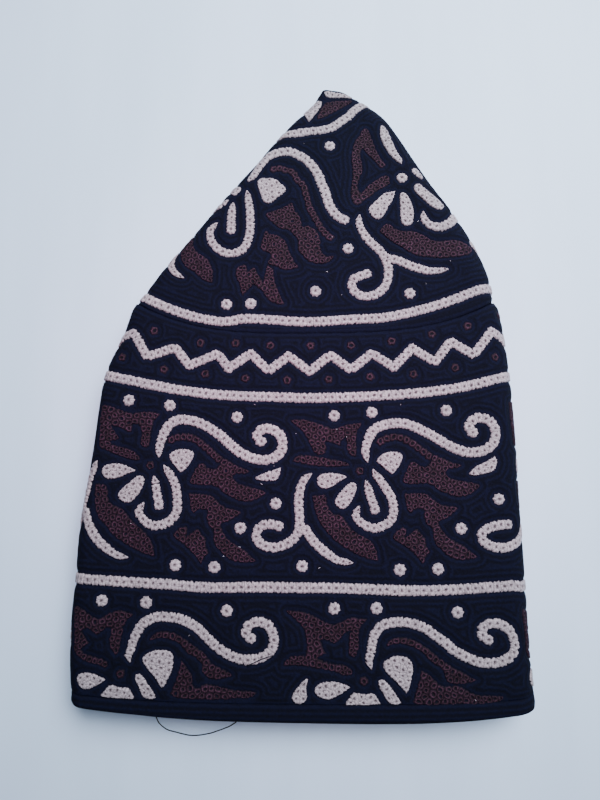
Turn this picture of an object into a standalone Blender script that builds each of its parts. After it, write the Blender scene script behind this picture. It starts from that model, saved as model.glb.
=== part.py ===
# A round embroidered prayer cap, folded flat in quarters and lying on a table.
# X runs along the hem, +Y points to the folded centre of the crown, +Z is up.
import math

import bmesh
import bpy
from mathutils import Vector

for old in list(bpy.data.objects):
    bpy.data.objects.remove(old, do_unlink=True)

# Driving sizes in metres: the hem's length round the head, the side band from
# the hem strip to the crown seam, the hem strip, and the crown's radius.
HEM_LENGTH = 0.560
BAND_HEIGHT = 0.1115
HEM_HEIGHT = 0.0050
CROWN_LENGTH = 0.0908

# The quilted cloth, the radius of each soft outer fold, the slot that is left
# between the two folded halves, and the gap at each sewn line.
CLOTH = 0.0016
LOBE = 0.0030
POCKET_GAP = 0.0007
SEAM_GAP = 0.0003

# How far the band stands proud of the crown at the seam, and how the curve of
# a row is flat in the middle and steep towards its ends.
SHOULDER = 0.0008
ROW_POWER = 3.2

# Flat points along one arm of a section, and steps round its arcs.
ARM_STEPS = 14
BIG_STEPS = 8
QUARTER_STEPS = 3

# The hem's four layers lie flat, so its folded width follows from its round.
LAYER = LOBE + CLOTH / 2 + POCKET_GAP / 2
FOLD_WIDE = (HEM_LENGTH - 2 * math.pi * (LOBE + LAYER)) / 4 + 2 * LOBE + LAYER + CLOTH
HEM_Y = -(HEM_HEIGHT + BAND_HEIGHT + CROWN_LENGTH) / 2
BAND_Y = HEM_Y + HEM_HEIGHT
SEAM_Y = BAND_Y + BAND_HEIGHT
TIP_Y = SEAM_Y + CROWN_LENGTH

# The crown seam: its two ends as shares of the folded width, and how far the
# ends stand above its middle as shares of the band's height.
SEAM_LEFT_X = -0.380
SEAM_LEFT_RISE = 0.092
SEAM_RIGHT_X = 0.449
SEAM_RIGHT_RISE = 0.104
SEAM_DROP = 0.098

# Crown rows from the rim to the tip. X is a share of the folded width, the end
# heights and the drop are shares of the crown's reach, loft is the share of a
# full fold's radius, pocket how deep the slot between the halves runs, and
# mouth how open that slot is.
#    left_x, left_y, right_x, right_y, drop, loft, pocket, mouth
CROWN_ROWS = [
    (-0.348, 0.183, 0.446, 0.184, 0.123, 1.00, 0.97, 1.0),
    (-0.320, 0.245, 0.435, 0.250, 0.116, 1.00, 0.96, 1.0),
    (-0.287, 0.313, 0.414, 0.331, 0.106, 1.00, 0.95, 1.0),
    (-0.243, 0.404, 0.387, 0.410, 0.094, 0.98, 0.93, 1.0),
    (-0.194, 0.510, 0.354, 0.495, 0.080, 0.95, 0.88, 1.0),
    (-0.143, 0.622, 0.313, 0.588, 0.066, 0.90, 0.78, 1.0),
    (-0.096, 0.722, 0.276, 0.683, 0.053, 0.84, 0.62, 1.0),
    (-0.051, 0.806, 0.241, 0.778, 0.040, 0.76, 0.40, 1.0),
    (-0.013, 0.873, 0.209, 0.865, 0.029, 0.66, 0.22, 0.7),
    (0.014, 0.921, 0.169, 0.934, 0.018, 0.55, 0.15, 0.3),
    (0.038, 0.962, 0.119, 0.983, 0.009, 0.45, 0.15, 0.0),
]
HOLLOW_ROWS = 8
TIP_X = 0.066

# Band rows from the seam to the hem strip. X is a share of the folded width,
# the end heights and the drop are shares of the band's height.
#    left_x, left_y, right_x, right_y, drop
BAND_ROWS = [
    (-0.394, 1.060, 0.462, 1.078, 0.095),
    (-0.403, 1.022, 0.467, 1.038, 0.090),
    (-0.415, 0.966, 0.472, 0.984, 0.082),
    (-0.435, 0.886, 0.478, 0.903, 0.071),
    (-0.452, 0.792, 0.483, 0.803, 0.057),
    (-0.465, 0.680, 0.486, 0.688, 0.045),
    (-0.477, 0.561, 0.487, 0.563, 0.038),
    (-0.488, 0.441, 0.489, 0.438, 0.032),
    (-0.496, 0.319, 0.491, 0.310, 0.028),
    (-0.500, 0.203, 0.493, 0.190, 0.026),
    (-0.501, 0.104, 0.495, 0.092, 0.025),
]
BAND_FOOT = (-0.500, 0.026, 0.499, 0.016, 0.022)

# Hem strip rows below the band's foot: depth and the rounding of the two fold
# corners, both as shares of the strip's height, and the share of the cloth's
# thickness that is left as its lower edge rounds off.
#    depth, left_corner, right_corner, thick
HEM_ROWS = [
    (0.00, 0.00, 0.00, 1.0),
    (0.55, 0.08, 0.02, 1.0),
    (0.90, 0.24, 0.08, 1.0),
    (1.00, 0.44, 0.22, 0.5),
]


def arc(centre_x, centre_z, radius, start, stop, steps):
    """Points on a round fold, without its last one."""
    points = []
    for step in range(steps):
        angle = math.radians(start + (stop - start) * step / steps)
        x = centre_x + radius * math.cos(angle)
        points.append((x, centre_z + radius * math.sin(angle)))
    return points


def arm(start_x, stop_x, z):
    """Points along a flat layer, without its last one."""
    span = (stop_x - start_x) / ARM_STEPS
    return [(start_x + span * step, z) for step in range(ARM_STEPS)]


def section(wide, loft, pocket, mouth, skin):
    """The folded cloth across one row, one closed line at a distance from its middle.

    The cloth is a flattened tube that is folded once more round its right side:
    two soft folds lie stacked on the left, and one fold lies in another on the right.
    """
    lobe = LOBE * loft
    layer = lobe + CLOTH / 2 + POCKET_GAP / 2
    middle = layer + lobe + CLOTH / 2
    left = lobe + CLOTH / 2
    right = wide - layer - left
    inner = left + (right - left) * pocket
    lower = middle - layer
    upper = middle + layer
    outside = arc(left, lower, lobe + skin, 180, 270, QUARTER_STEPS)
    outside += arm(left, right, lower - lobe - skin)
    outside += arc(right, middle, layer + lobe + skin, -90, 90, BIG_STEPS)
    outside += arm(right, left, upper + lobe + skin)
    outside += arc(left, upper, lobe + skin, 90, 180, QUARTER_STEPS)
    inside = arc(left, upper, lobe + skin, 180, 270, QUARTER_STEPS)
    inside += arm(left, inner, upper - lobe - skin)
    inside += arc(inner, middle, layer - lobe - skin, 90, -90, BIG_STEPS)
    inside += arm(inner, left, lower + lobe + skin)
    inside += arc(left, lower, lobe + skin, 90, 180, QUARTER_STEPS)
    flat_x, top_z = inside[0]
    drop_z = 2 * layer / len(inside)
    for place, (x, z) in enumerate(inside):
        flat_z = top_z - drop_z * place
        inside[place] = (flat_x + (x - flat_x) * mouth, flat_z + (z - flat_z) * mouth)
    return outside + inside


def row_points(row, skin):
    """A section laid along its row, whose middle hangs below its two ends."""
    wide = row["right_x"] - row["left_x"]
    points = []
    for along, z in section(wide, row["loft"], row["pocket"], row["mouth"], skin):
        share = along / wide
        chord = row["left_y"] + (row["right_y"] - row["left_y"]) * share
        sag = row["drop"] * (1 - abs(2 * share - 1) ** ROW_POWER)
        points.append((row["left_x"] + along, chord - sag, z))
    return points


def seam_row(lift, proud):
    """The sewn line between crown and band, a little above or below it."""
    return {
        "left_x": SEAM_LEFT_X * FOLD_WIDE - proud,
        "left_y": SEAM_Y + SEAM_LEFT_RISE * BAND_HEIGHT + lift,
        "right_x": SEAM_RIGHT_X * FOLD_WIDE + proud,
        "right_y": SEAM_Y + SEAM_RIGHT_RISE * BAND_HEIGHT + lift,
        "drop": SEAM_DROP * BAND_HEIGHT,
        "loft": 1.0,
        "pocket": 0.97,
        "mouth": 1.0,
    }


def crown_rows():
    """The crown's rows from its rim up to the last ring below the tip."""
    rows = [seam_row(SEAM_GAP / 2, 0)]
    for left_x, left_y, right_x, right_y, drop, loft, pocket, mouth in CROWN_ROWS:
        rows.append({
            "left_x": left_x * FOLD_WIDE,
            "left_y": SEAM_Y + left_y * CROWN_LENGTH,
            "right_x": right_x * FOLD_WIDE,
            "right_y": SEAM_Y + right_y * CROWN_LENGTH,
            "drop": drop * CROWN_LENGTH,
            "loft": loft,
            "pocket": pocket,
            "mouth": mouth,
        })
    return rows


def band_row(left_x, left_y, right_x, right_y, drop, lift=0.0):
    """One row of the side band at its own shares of width and height."""
    return {
        "left_x": left_x * FOLD_WIDE,
        "left_y": BAND_Y + left_y * BAND_HEIGHT + lift,
        "right_x": right_x * FOLD_WIDE,
        "right_y": BAND_Y + right_y * BAND_HEIGHT + lift,
        "drop": drop * BAND_HEIGHT,
        "loft": 1.0,
        "pocket": 0.97,
        "mouth": 1.0,
    }


def band_rows():
    """The band's rows from just under the seam down to its foot."""
    rows = [seam_row(-SEAM_GAP / 2, SHOULDER)]
    rows += [band_row(*row) for row in BAND_ROWS]
    rows.append(band_row(*BAND_FOOT, lift=SEAM_GAP / 2))
    return rows


def hem_rows():
    """The hem strip's rows, each with the share of the cloth that is left there."""
    rows = []
    for depth, left_corner, right_corner, thick in HEM_ROWS:
        row = band_row(*BAND_FOOT, lift=-SEAM_GAP / 2)
        row["left_x"] += left_corner * HEM_HEIGHT
        row["left_y"] -= (depth - left_corner) * HEM_HEIGHT
        row["right_x"] -= right_corner * HEM_HEIGHT
        row["right_y"] -= (depth - right_corner) * HEM_HEIGHT
        row["drop"] += (left_corner + right_corner) / 2 * HEM_HEIGHT
        rows.append((row, thick))
    return rows


def ring(bm, points):
    """A closed line of new edges, with its corners in order."""
    corners = [bm.verts.new(point) for point in points]
    edges = [bm.edges.new((corners[place - 1], corner)) for place, corner in enumerate(corners)]
    return corners, edges


def loft_rings(bm, rings):
    """Cloth from each ring to the next."""
    for (_, here), (_, after) in zip(rings, rings[1:]):
        bmesh.ops.bridge_loops(bm, edges=here + after)


def close_tip(bm, last, point):
    """The tip, where the outer skin runs together in one point."""
    corners, edges = last
    shrunk = [(corner.co - point) * 0.02 + point for corner in corners]
    small = ring(bm, shrunk)
    bmesh.ops.bridge_loops(bm, edges=edges + small[1])
    bmesh.ops.pointmerge(bm, verts=small[0], merge_co=point)


def close_hollow(bm, last):
    """The end of the hollow, a strip across from its outer layer to its inner one."""
    corners, _ = last
    half = len(corners) // 2
    for place in range(half):
        outer = [corners[place], corners[place + 1]]
        inner = [corners[-place - 1], corners[-place]]
        face = list(dict.fromkeys(outer + inner))
        bm.faces.new(face)


def finish(name, bm, colour, roughness):
    """The finished piece as an object of its own, with its cloth's material."""
    bmesh.ops.recalc_face_normals(bm, faces=bm.faces)
    bmesh.ops.triangulate(bm, faces=bm.faces)
    mesh = bpy.data.meshes.new(name)
    bm.to_mesh(mesh)
    bm.free()
    mesh.shade_smooth()
    mesh.set_sharp_from_angle(angle=math.radians(50))
    piece = bpy.data.objects.new(name, mesh)
    bpy.context.scene.collection.objects.link(piece)
    material = bpy.data.materials.new(name + "_cloth")
    material.use_nodes = True
    shader = material.node_tree.nodes["Principled BSDF"]
    shader.inputs["Base Color"].default_value = colour
    shader.inputs["Roughness"].default_value = roughness
    shader.inputs["Metallic"].default_value = 0.0
    mesh.materials.append(material)


def build_crown():
    """The round top, folded to a quarter, solid where its layers bunch at the tip."""
    bm = bmesh.new()
    rows = crown_rows()
    outer = [ring(bm, row_points(row, CLOTH / 2)) for row in rows]
    inner = [ring(bm, row_points(row, -CLOTH / 2)) for row in rows[:HOLLOW_ROWS]]
    loft_rings(bm, outer)
    loft_rings(bm, inner)
    loft_rings(bm, [outer[0], inner[0]])
    tip_z = sum(corner.co.z for corner in outer[-1][0]) / len(outer[-1][0])
    close_tip(bm, outer[-1], Vector((TIP_X * FOLD_WIDE, TIP_Y, tip_z)))
    close_hollow(bm, inner[-1])
    finish("crown", bm, (0.020, 0.024, 0.055, 1.0), 0.85)


def build_band():
    """The tall side of the cap, open at both ends."""
    bm = bmesh.new()
    rows = band_rows()
    outer = [ring(bm, row_points(row, CLOTH / 2)) for row in rows]
    inner = [ring(bm, row_points(row, -CLOTH / 2)) for row in rows]
    loft_rings(bm, outer + inner[::-1] + outer[:1])
    finish("side_band", bm, (0.022, 0.026, 0.060, 1.0), 0.85)


def build_hem():
    """The plain strip that binds the cap's lower edge, rounded at its foot."""
    bm = bmesh.new()
    outer = []
    inner = []
    for row, thick in hem_rows():
        outer.append(ring(bm, row_points(row, CLOTH / 2 * thick)))
        inner.append(ring(bm, row_points(row, -CLOTH / 2 * thick)))
    loft_rings(bm, outer + inner[::-1] + outer[:1])
    finish("hem_binding", bm, (0.014, 0.017, 0.042, 1.0), 0.80)


build_crown()
build_band()
build_hem()
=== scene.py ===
# A round embroidered prayer cap, folded flat in quarters: its looks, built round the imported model.
# X runs along the hem, +Y points to the folded centre of the crown, +Z is up. Metres throughout.
import math

import bmesh
import bpy
import numpy as np
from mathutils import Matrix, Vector
from mathutils.kdtree import KDTree


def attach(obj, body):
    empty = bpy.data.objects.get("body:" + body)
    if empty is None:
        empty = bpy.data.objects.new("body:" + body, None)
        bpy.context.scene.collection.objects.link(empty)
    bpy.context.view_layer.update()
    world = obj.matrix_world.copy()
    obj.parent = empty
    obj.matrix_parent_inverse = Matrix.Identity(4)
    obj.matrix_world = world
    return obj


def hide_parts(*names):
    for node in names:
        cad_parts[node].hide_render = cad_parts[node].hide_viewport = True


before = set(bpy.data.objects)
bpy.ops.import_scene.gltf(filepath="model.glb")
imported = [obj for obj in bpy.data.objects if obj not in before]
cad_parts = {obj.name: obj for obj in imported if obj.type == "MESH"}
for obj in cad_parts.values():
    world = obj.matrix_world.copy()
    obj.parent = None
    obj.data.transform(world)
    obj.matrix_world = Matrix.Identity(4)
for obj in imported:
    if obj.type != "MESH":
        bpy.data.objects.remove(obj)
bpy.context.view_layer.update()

# The table, the daylight and the camera.
# The cap lies on a pale laminate table beside a window to its upper right, and the
# camera looks almost straight down on it from 0.2 m.
TABLE_SIZE = 3.0
CAMERA_AT = (-0.0007, -0.0349, 0.202)
CAMERA_TILT = 8.0
WINDOW_AT = (0.21, 0.31, 0.43)
WINDOW_AIM = (0.08, 0.12, 0.0)
WINDOW_SIZE = 0.5
WINDOW_SPREAD = 62.0
WINDOW_WATTS = 2.7
SKY_STRENGTH = 0.24
PINK_LAMP_AT = (0.0, -0.004, 0.60)
PINK_LAMP_WATTS = 15.0
PINK_LAMP_ANGLE = 17.0


def srgb(code):
    """A linear colour from an sRGB hex value."""
    parts = [int(code[place:place + 2], 16) / 255 for place in (0, 2, 4)]
    return [((part + 0.055) / 1.055) ** 2.4 if part > 0.04045 else part / 12.92 for part in parts] + [1.0]


def add_node(tree, kind, settings=None, links=None):
    """One shader node, with its settings and the sockets that feed it."""
    made = tree.nodes.new(kind)
    for name, value in (settings or {}).items():
        if isinstance(name, int) or name in made.inputs:
            made.inputs[name].default_value = value
        else:
            setattr(made, name, value)
    for name, source in (links or {}).items():
        tree.links.new(source, made.inputs[name])
    return made


def colour_ramp(tree, source, stops):
    """Colours by a value, from (place, hex) stops."""
    made = add_node(tree, "ShaderNodeValToRGB", None, {"Fac": source})
    elements = made.color_ramp.elements
    elements.remove(elements[1])
    elements[0].position = stops[0][0]
    elements[0].color = srgb(stops[0][1])
    for place, code in stops[1:]:
        elements.new(place).color = srgb(code)
    return made.outputs["Color"]


def new_material(name):
    """An empty material with its output and its Principled shader."""
    material = bpy.data.materials.new(name)
    material.use_nodes = True
    return material, material.node_tree, material.node_tree.nodes["Principled BSDF"]


def add_object(name, mesh, *materials):
    """A finished mesh as an object at the origin."""
    piece = bpy.data.objects.new(name, mesh)
    bpy.context.scene.collection.objects.link(piece)
    for material in materials:
        mesh.materials.append(material)
    return piece


bm = bmesh.new()
bmesh.ops.create_grid(bm, x_segments=1, y_segments=1, size=TABLE_SIZE / 2)
table_mesh = bpy.data.meshes.new("table_top")
bm.to_mesh(table_mesh)
bm.free()

# Matt laminate: pale, with a faint long grain 60 mm by 4 mm.
laminate, tree, shader = new_material("pale_laminate")
place = add_node(tree, "ShaderNodeTexCoord")
turned = add_node(tree, "ShaderNodeMapping", {"Scale": (15.0, 2.0, 1.0)}, {"Vector": place.outputs["Object"]})
grain = add_node(tree, "ShaderNodeTexNoise", {"Scale": 3.0, "Detail": 3.0},
                 {"Vector": turned.outputs["Vector"]})
tone = colour_ramp(tree, grain.outputs["Fac"], [(0.3, "C2D8F3"), (0.7, "CAE0FB")])
tree.links.new(tone, shader.inputs["Base Color"])
shader.inputs["Roughness"].default_value = 0.6
add_object("table_top", table_mesh, laminate)

window = bpy.data.lights.new("window", "AREA")
window.size = WINDOW_SIZE
window.spread = math.radians(WINDOW_SPREAD)
window.energy = WINDOW_WATTS
window.color = srgb("F4F8FF")[:3]
window_object = bpy.data.objects.new("window", window)
window_object.location = WINDOW_AT
window_object.rotation_euler = (Vector(WINDOW_AT) - Vector(WINDOW_AIM)).to_track_quat("Z", "Y").to_euler()
bpy.context.scene.collection.objects.link(window_object)

# The photo is pinker in its middle than at its edges: a soft round light from above.
pink_lamp = bpy.data.lights.new("pink_lamp", "SPOT")
pink_lamp.energy = PINK_LAMP_WATTS
pink_lamp.color = srgb("FF9CC4")[:3]
pink_lamp.spot_size = math.radians(PINK_LAMP_ANGLE)
pink_lamp.spot_blend = 1.0
pink_lamp.shadow_soft_size = 0.05
pink_lamp_object = bpy.data.objects.new("pink_lamp", pink_lamp)
pink_lamp_object.location = PINK_LAMP_AT
bpy.context.scene.collection.objects.link(pink_lamp_object)

sky = bpy.data.worlds.new("room_light")
sky.use_nodes = True
sky.node_tree.nodes["Background"].inputs["Color"].default_value = srgb("E2EAF5")
sky.node_tree.nodes["Background"].inputs["Strength"].default_value = SKY_STRENGTH
bpy.context.scene.world = sky

camera = bpy.data.cameras.new("camera")
camera.lens = 27.0
camera.sensor_width = 36.0
camera.clip_start = 0.01
camera_object = bpy.data.objects.new("camera", camera)
camera_object.location = CAMERA_AT
camera_object.rotation_euler = (math.radians(CAMERA_TILT), 0.0, 0.0)
bpy.context.scene.collection.objects.link(camera_object)
bpy.context.scene.camera = camera_object

# The folded cloth that every piece follows.
# The cap is a sewn tube of quilted double cotton, pressed flat and folded once more,
# so two soft folds lie stacked on the left and one fold lies in another on the right.
HEM_LENGTH = 0.560
BAND_HEIGHT = 0.1115
HEM_HEIGHT = 0.0050
CROWN_LENGTH = 0.0908
CLOTH = 0.0016
LOBE = 0.0030
POCKET_GAP = 0.0007
SEAM_GAP = 0.0003
SHOULDER = 0.0008
ROW_POWER = 3.2
PRESSED = 0.00052
LAYER = LOBE + CLOTH / 2 + POCKET_GAP / 2
FOLD_WIDE = (HEM_LENGTH - 2 * math.pi * (LOBE + LAYER)) / 4 + 2 * LOBE + LAYER + CLOTH
HEM_Y = -(HEM_HEIGHT + BAND_HEIGHT + CROWN_LENGTH) / 2
BAND_Y = HEM_Y + HEM_HEIGHT
SEAM_Y = BAND_Y + BAND_HEIGHT
TIP = (0.066 * FOLD_WIDE, SEAM_Y + CROWN_LENGTH)

# Rows as shares of the folded width, and of the crown's length or the band's height:
# left_x, left_y, right_x, right_y, drop, loft, pocket, mouth, thick
CROWN_ROWS = np.array([
    (0.052, 0.984, 0.119, 0.970, 0.004, 0.45, 0.15, 0.0, 1),
    (0.030, 0.921, 0.160, 0.929, 0.018, 0.55, 0.15, 0.3, 1),
    (0.005, 0.873, 0.205, 0.865, 0.029, 0.66, 0.22, 0.7, 1),
    (-0.033, 0.806, 0.241, 0.778, 0.040, 0.76, 0.40, 1.0, 1),
    (-0.076, 0.722, 0.276, 0.683, 0.053, 0.84, 0.62, 1.0, 1),
    (-0.126, 0.622, 0.313, 0.588, 0.066, 0.90, 0.78, 1.0, 1),
    (-0.186, 0.510, 0.354, 0.495, 0.080, 0.95, 0.88, 1.0, 1),
    (-0.237, 0.404, 0.387, 0.410, 0.094, 0.98, 0.93, 1.0, 1),
    (-0.285, 0.313, 0.414, 0.331, 0.106, 1.00, 0.95, 1.0, 1),
    (-0.320, 0.245, 0.435, 0.250, 0.116, 1.00, 0.96, 1.0, 1),
    (-0.348, 0.183, 0.446, 0.184, 0.123, 1.00, 0.97, 1.0, 1),
])
BAND_ROWS = np.array([
    (-0.394, 1.060, 0.462, 1.078, 0.095, 1, 0.97, 1, 1),
    (-0.403, 1.022, 0.467, 1.038, 0.090, 1, 0.97, 1, 1),
    (-0.420, 0.966, 0.472, 0.984, 0.082, 1, 0.97, 1, 1),
    (-0.446, 0.886, 0.478, 0.903, 0.071, 1, 0.97, 1, 1),
    (-0.457, 0.792, 0.483, 0.803, 0.057, 1, 0.97, 1, 1),
    (-0.465, 0.680, 0.486, 0.688, 0.045, 1, 0.97, 1, 1),
    (-0.477, 0.561, 0.487, 0.563, 0.038, 1, 0.97, 1, 1),
    (-0.488, 0.441, 0.489, 0.438, 0.032, 1, 0.97, 1, 1),
    (-0.491, 0.319, 0.491, 0.310, 0.028, 1, 0.97, 1, 1),
    (-0.496, 0.203, 0.493, 0.190, 0.026, 1, 0.97, 1, 1),
    (-0.494, 0.104, 0.495, 0.092, 0.025, 1, 0.97, 1, 1),
    (-0.489, 0.026, 0.499, 0.016, 0.022, 1, 0.97, 1, 1),
])
SEAM_ROW = np.array([-0.380, 0.092, 0.449, 0.104, 0.098, 1, 0.97, 1, 1])
# Hem rows: depth and the rounding of the two corners as shares of its height, and the cloth left.
HEM_ROWS = [(0.0, 0.0, 0.0, 1.0), (0.55, 0.08, 0.02, 1.0), (0.90, 0.24, 0.08, 1.0), (1.0, 0.44, 0.22, 0.5)]


def sized(rows, length, base, lift=0.0, proud=0.0):
    """Rows in metres from their shares."""
    scale = np.array([FOLD_WIDE, length, FOLD_WIDE, length, length, 1, 1, 1, 1])
    shift = np.array([-proud, base + lift, proud, base + lift, 0, 0, 0, 0, 0])
    return np.atleast_2d(rows) * scale + shift


def smooth_row(rows, place):
    """The row at a fractional place, on a smooth curve through the rows."""
    last = len(rows) - 1
    at = np.clip(np.floor(place).astype(int), 0, last - 1)
    part = (place - at)[..., None]
    before = np.where((at > 0)[..., None], rows[np.maximum(at - 1, 0)], 2 * rows[0] - rows[1])
    here, after = rows[at], rows[at + 1]
    beyond = np.where((at + 2 <= last)[..., None], rows[np.minimum(at + 2, last)], 2 * rows[-1] - rows[-2])
    bend = 2 * before - 5 * here + 4 * after - beyond
    return 0.5 * (2 * here + (after - before) * part + bend * part**2
                  + (3 * here - before - 3 * after + beyond) * part**3)


def on_cloth(row, turn, lift):
    """Points a little above the cloth's outer face.

    turn goes round the folded tube: 0 to 1 over the top, 1 to 2 under the bottom, and 2 to 4
    through the slot between the folded halves.
    """
    left_x, left_y, right_x, right_y, drop, loft, pocket, mouth, thick = np.moveaxis(row, -1, 0)
    wide = right_x - left_x
    layer = LOBE * loft + CLOTH / 2 + POCKET_GAP / 2
    small = LOBE * loft + CLOTH / 2
    middle = layer + small
    turn = np.mod(turn, 4)
    in_slot = turn >= 2
    top = (turn < 1) | (turn >= 3)
    side = np.where(in_slot, -1.0, 1.0)
    share = np.where(turn < 1, turn, np.where(turn < 2, 2 - turn, np.where(turn < 3, turn - 2, 4 - turn)))
    reach = wide - layer - 2 * small
    reach = np.where(in_slot, reach * pocket, reach)
    big = layer + side * small
    first = math.pi / 2 * small
    along = share * (first + reach + math.pi / 2 * big)
    near = np.clip(along / small, 0, math.pi / 2)
    flat = np.clip(along - first, 0, reach)
    far = np.clip((along - first - reach) / big, 0, math.pi / 2)
    x = small - small * np.cos(near) + flat + big * np.sin(far)
    z = np.where(far > 0, big * np.cos(far), layer + side * small * np.sin(near))
    normal_x = np.where(far > 0, side * np.sin(far), -np.cos(near))
    normal_z = np.where(far > 0, side * np.cos(far), side * np.sin(near))
    # depth is 0 at the left folds and a half at the right end of the slot.
    depth = (near * 3 / (math.pi / 2) + 14 * flat / reach + far * 4 / (math.pi / 2)) / 42
    open_x = np.where(in_slot, x * mouth, x)
    open_z = np.where(in_slot, layer * (1 - 2 * depth) * (1 - mouth) + z * mouth, z)
    share_x = open_x / wide
    lift = (lift + CLOTH / 2) * thick - CLOTH / 2
    down = np.where(top, 1.0, -1.0)
    lift = lift - np.where(in_slot, 0.0, PRESSED * np.clip(-down * normal_z, 0, 1))
    y = left_y + (right_y - left_y) * share_x - drop * (1 - np.abs(2 * share_x - 1) ** ROW_POWER)
    x = left_x + open_x + normal_x * lift
    z = middle + down * (open_z + normal_z * lift)
    return np.stack([x, y, z], -1)


def charted(rows):
    """The rows of a piece, with the distance in mm down its middle that charts are drawn in."""
    steps = 60 * (len(rows) - 1)
    place = np.arange(-3, steps + 4) / 60
    middle_y = on_cloth(smooth_row(rows, place), np.full_like(place, 0.5), 0.0)[:, 1]
    down = (middle_y[3] - middle_y) * 1000
    return {"rows": rows, "place": place, "down": down, "length": down[-4]}


def wrap(part, across, down, lift=0.0):
    """Chart points on the cloth: across in percent of a folded face, down in mm, lift in metres."""
    across, down, lift = np.broadcast_arrays(np.asarray(across, float), np.asarray(down, float), lift)
    place = np.interp(down, part["down"], part["place"])
    return on_cloth(smooth_row(part["rows"], place), across / 100, lift)


seam_above = sized(SEAM_ROW, BAND_HEIGHT, SEAM_Y, SEAM_GAP / 2)
seam_below = sized(SEAM_ROW, BAND_HEIGHT, SEAM_Y, -SEAM_GAP / 2, SHOULDER)
foot = sized(BAND_ROWS[-1], BAND_HEIGHT, BAND_Y, -SEAM_GAP / 2)
hem_rows = []
for depth, left_corner, right_corner, thick in HEM_ROWS:
    row = foot[0].copy()
    row[:5] += HEM_HEIGHT * np.array([left_corner, left_corner - depth, -right_corner, right_corner - depth,
                                      (left_corner + right_corner) / 2])
    row[8] = thick
    hem_rows.append(row)
crown = charted(np.vstack([sized(CROWN_ROWS, CROWN_LENGTH, SEAM_Y), seam_above]))
band = charted(np.vstack([seam_below, sized(BAND_ROWS[:-1], BAND_HEIGHT, BAND_Y),
                          sized(BAND_ROWS[-1], BAND_HEIGHT, BAND_Y, SEAM_GAP / 2)]))
hem = charted(np.array(hem_rows))

# The off-white embroidery, worked in thick cotton.
# Every shape is a row or a field of small eyelets: a pierced hole with satin stitches
# fanned round it, about 2.2 mm from the next one and 0.4 mm high.
EYELET_STEP = 2.2
LINE_WIDTH = 3.1
TAPER = 9.0
TIP_LENGTH = 2.2
FIELD_SAMPLE = 0.3
SLOT_REACH = 5.0


def smooth_path(points, steps=12):
    """A smooth curve through charted points."""
    points = np.array(points, float)
    return smooth_row(points, np.linspace(0, len(points) - 1, steps * (len(points) - 1) + 1))


def straight_path(points, steps=12):
    """A line straight from point to point, for the zigzag."""
    points = np.array(points, float)
    place = np.linspace(0, len(points) - 1, steps * (len(points) - 1) + 1)
    whole = np.arange(len(points))
    return np.stack([np.interp(place, whole, points[:, axis]) for axis in (0, 1)], -1)


def cloth_plane(part, across, down):
    """What a step on the chart is on the cloth, in mm: along the row, its slant, and down.

    The two directions come with it, as unit vectors in space.
    """
    step = 0.05
    down = np.clip(down, step, part["length"] - step)
    along = (wrap(part, across + step, down) - wrap(part, across - step, down)) * 500 / step
    below = (wrap(part, across, down + step) - wrap(part, across, down - step)) * 500 / step
    run = np.linalg.norm(along, axis=-1)
    along = along / run[..., None]
    slant = (along * below).sum(-1)
    below = below - slant[..., None] * along
    fall = np.linalg.norm(below, axis=-1)
    return run, slant, fall, along, below / fall[..., None]


def worked_line(part, points, width=LINE_WIDTH, start=None, end=None, step=EYELET_STEP, straight=False):
    """Eyelets in a row along a charted line, which tapers to the widths start and end."""
    path = straight_path(points) if straight else smooth_path(points)
    steps = np.diff(wrap(part, path[:, 0], path[:, 1]), axis=0) * 1000
    length = np.concatenate([[0], np.cumsum(np.linalg.norm(steps, axis=1))])
    total = length[-1]

    def half_at(here):
        half = width / 2
        for narrow, gap in ((start, here), (end, total - here)):
            if narrow:
                slow = narrow + (width - narrow) * min(gap / TAPER, 1)
                half = min(half, slow / 2 * min(max(gap, 0) / TIP_LENGTH, 1) ** 0.65)
        return half

    first = 1.3 if start else width * 0.42
    last = total - (1.3 if end else width * 0.42)
    cells = []
    for here in np.linspace(first, last, max(2, round((last - first) / step) + 1)):
        across, down = (np.interp(here, length, path[:, axis]) for axis in (0, 1))
        ahead, behind = ([np.interp(here + gap, length, path[:, axis]) for axis in (0, 1)]
                         for gap in (0.3, -0.3))
        half = half_at(here)
        taper = (half_at(here + 0.5) - half_at(here - 0.5)) if 0.5 < here < total - 0.5 else 0.0
        pointed = (start and here == first) or (end and here == last)
        cap = 1.5 if pointed else max(half * 1.13, step * 0.68)
        way = (ahead[0] - behind[0], ahead[1] - behind[1], taper, cap)
        cells.append((across, down, half, way, None))
    return cells


def inside_outline(points, outline):
    """Which points lie inside a closed outline."""
    x, y = points[:, 0, None], points[:, 1, None]
    x1, y1 = outline[:, 0], outline[:, 1]
    x2, y2 = np.roll(x1, -1), np.roll(y1, -1)
    crosses = (y1 > y) != (y2 > y)
    meet = x1 + (y - y1) / np.where(y2 == y1, 1e-9, y2 - y1) * (x2 - x1)
    return (crosses & (x < meet)).sum(1) % 2 == 1


def rounded(outline):
    """An outline with its blunt corners cut twice and its sharp ones kept."""
    for _ in range(2):
        back, ahead = np.roll(outline, 1, 0) - outline, np.roll(outline, -1, 0) - outline
        size = np.linalg.norm(back, axis=1) * np.linalg.norm(ahead, axis=1)
        bend = (back * ahead).sum(1) / np.maximum(size, 1e-9)
        parts = [[point] if cosine > -0.15 else [point + before / 4, point + after / 4]
                 for point, before, after, cosine in zip(outline, back, ahead, bend)]
        outline = np.array([point for part in parts for point in part])
    return outline


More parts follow.
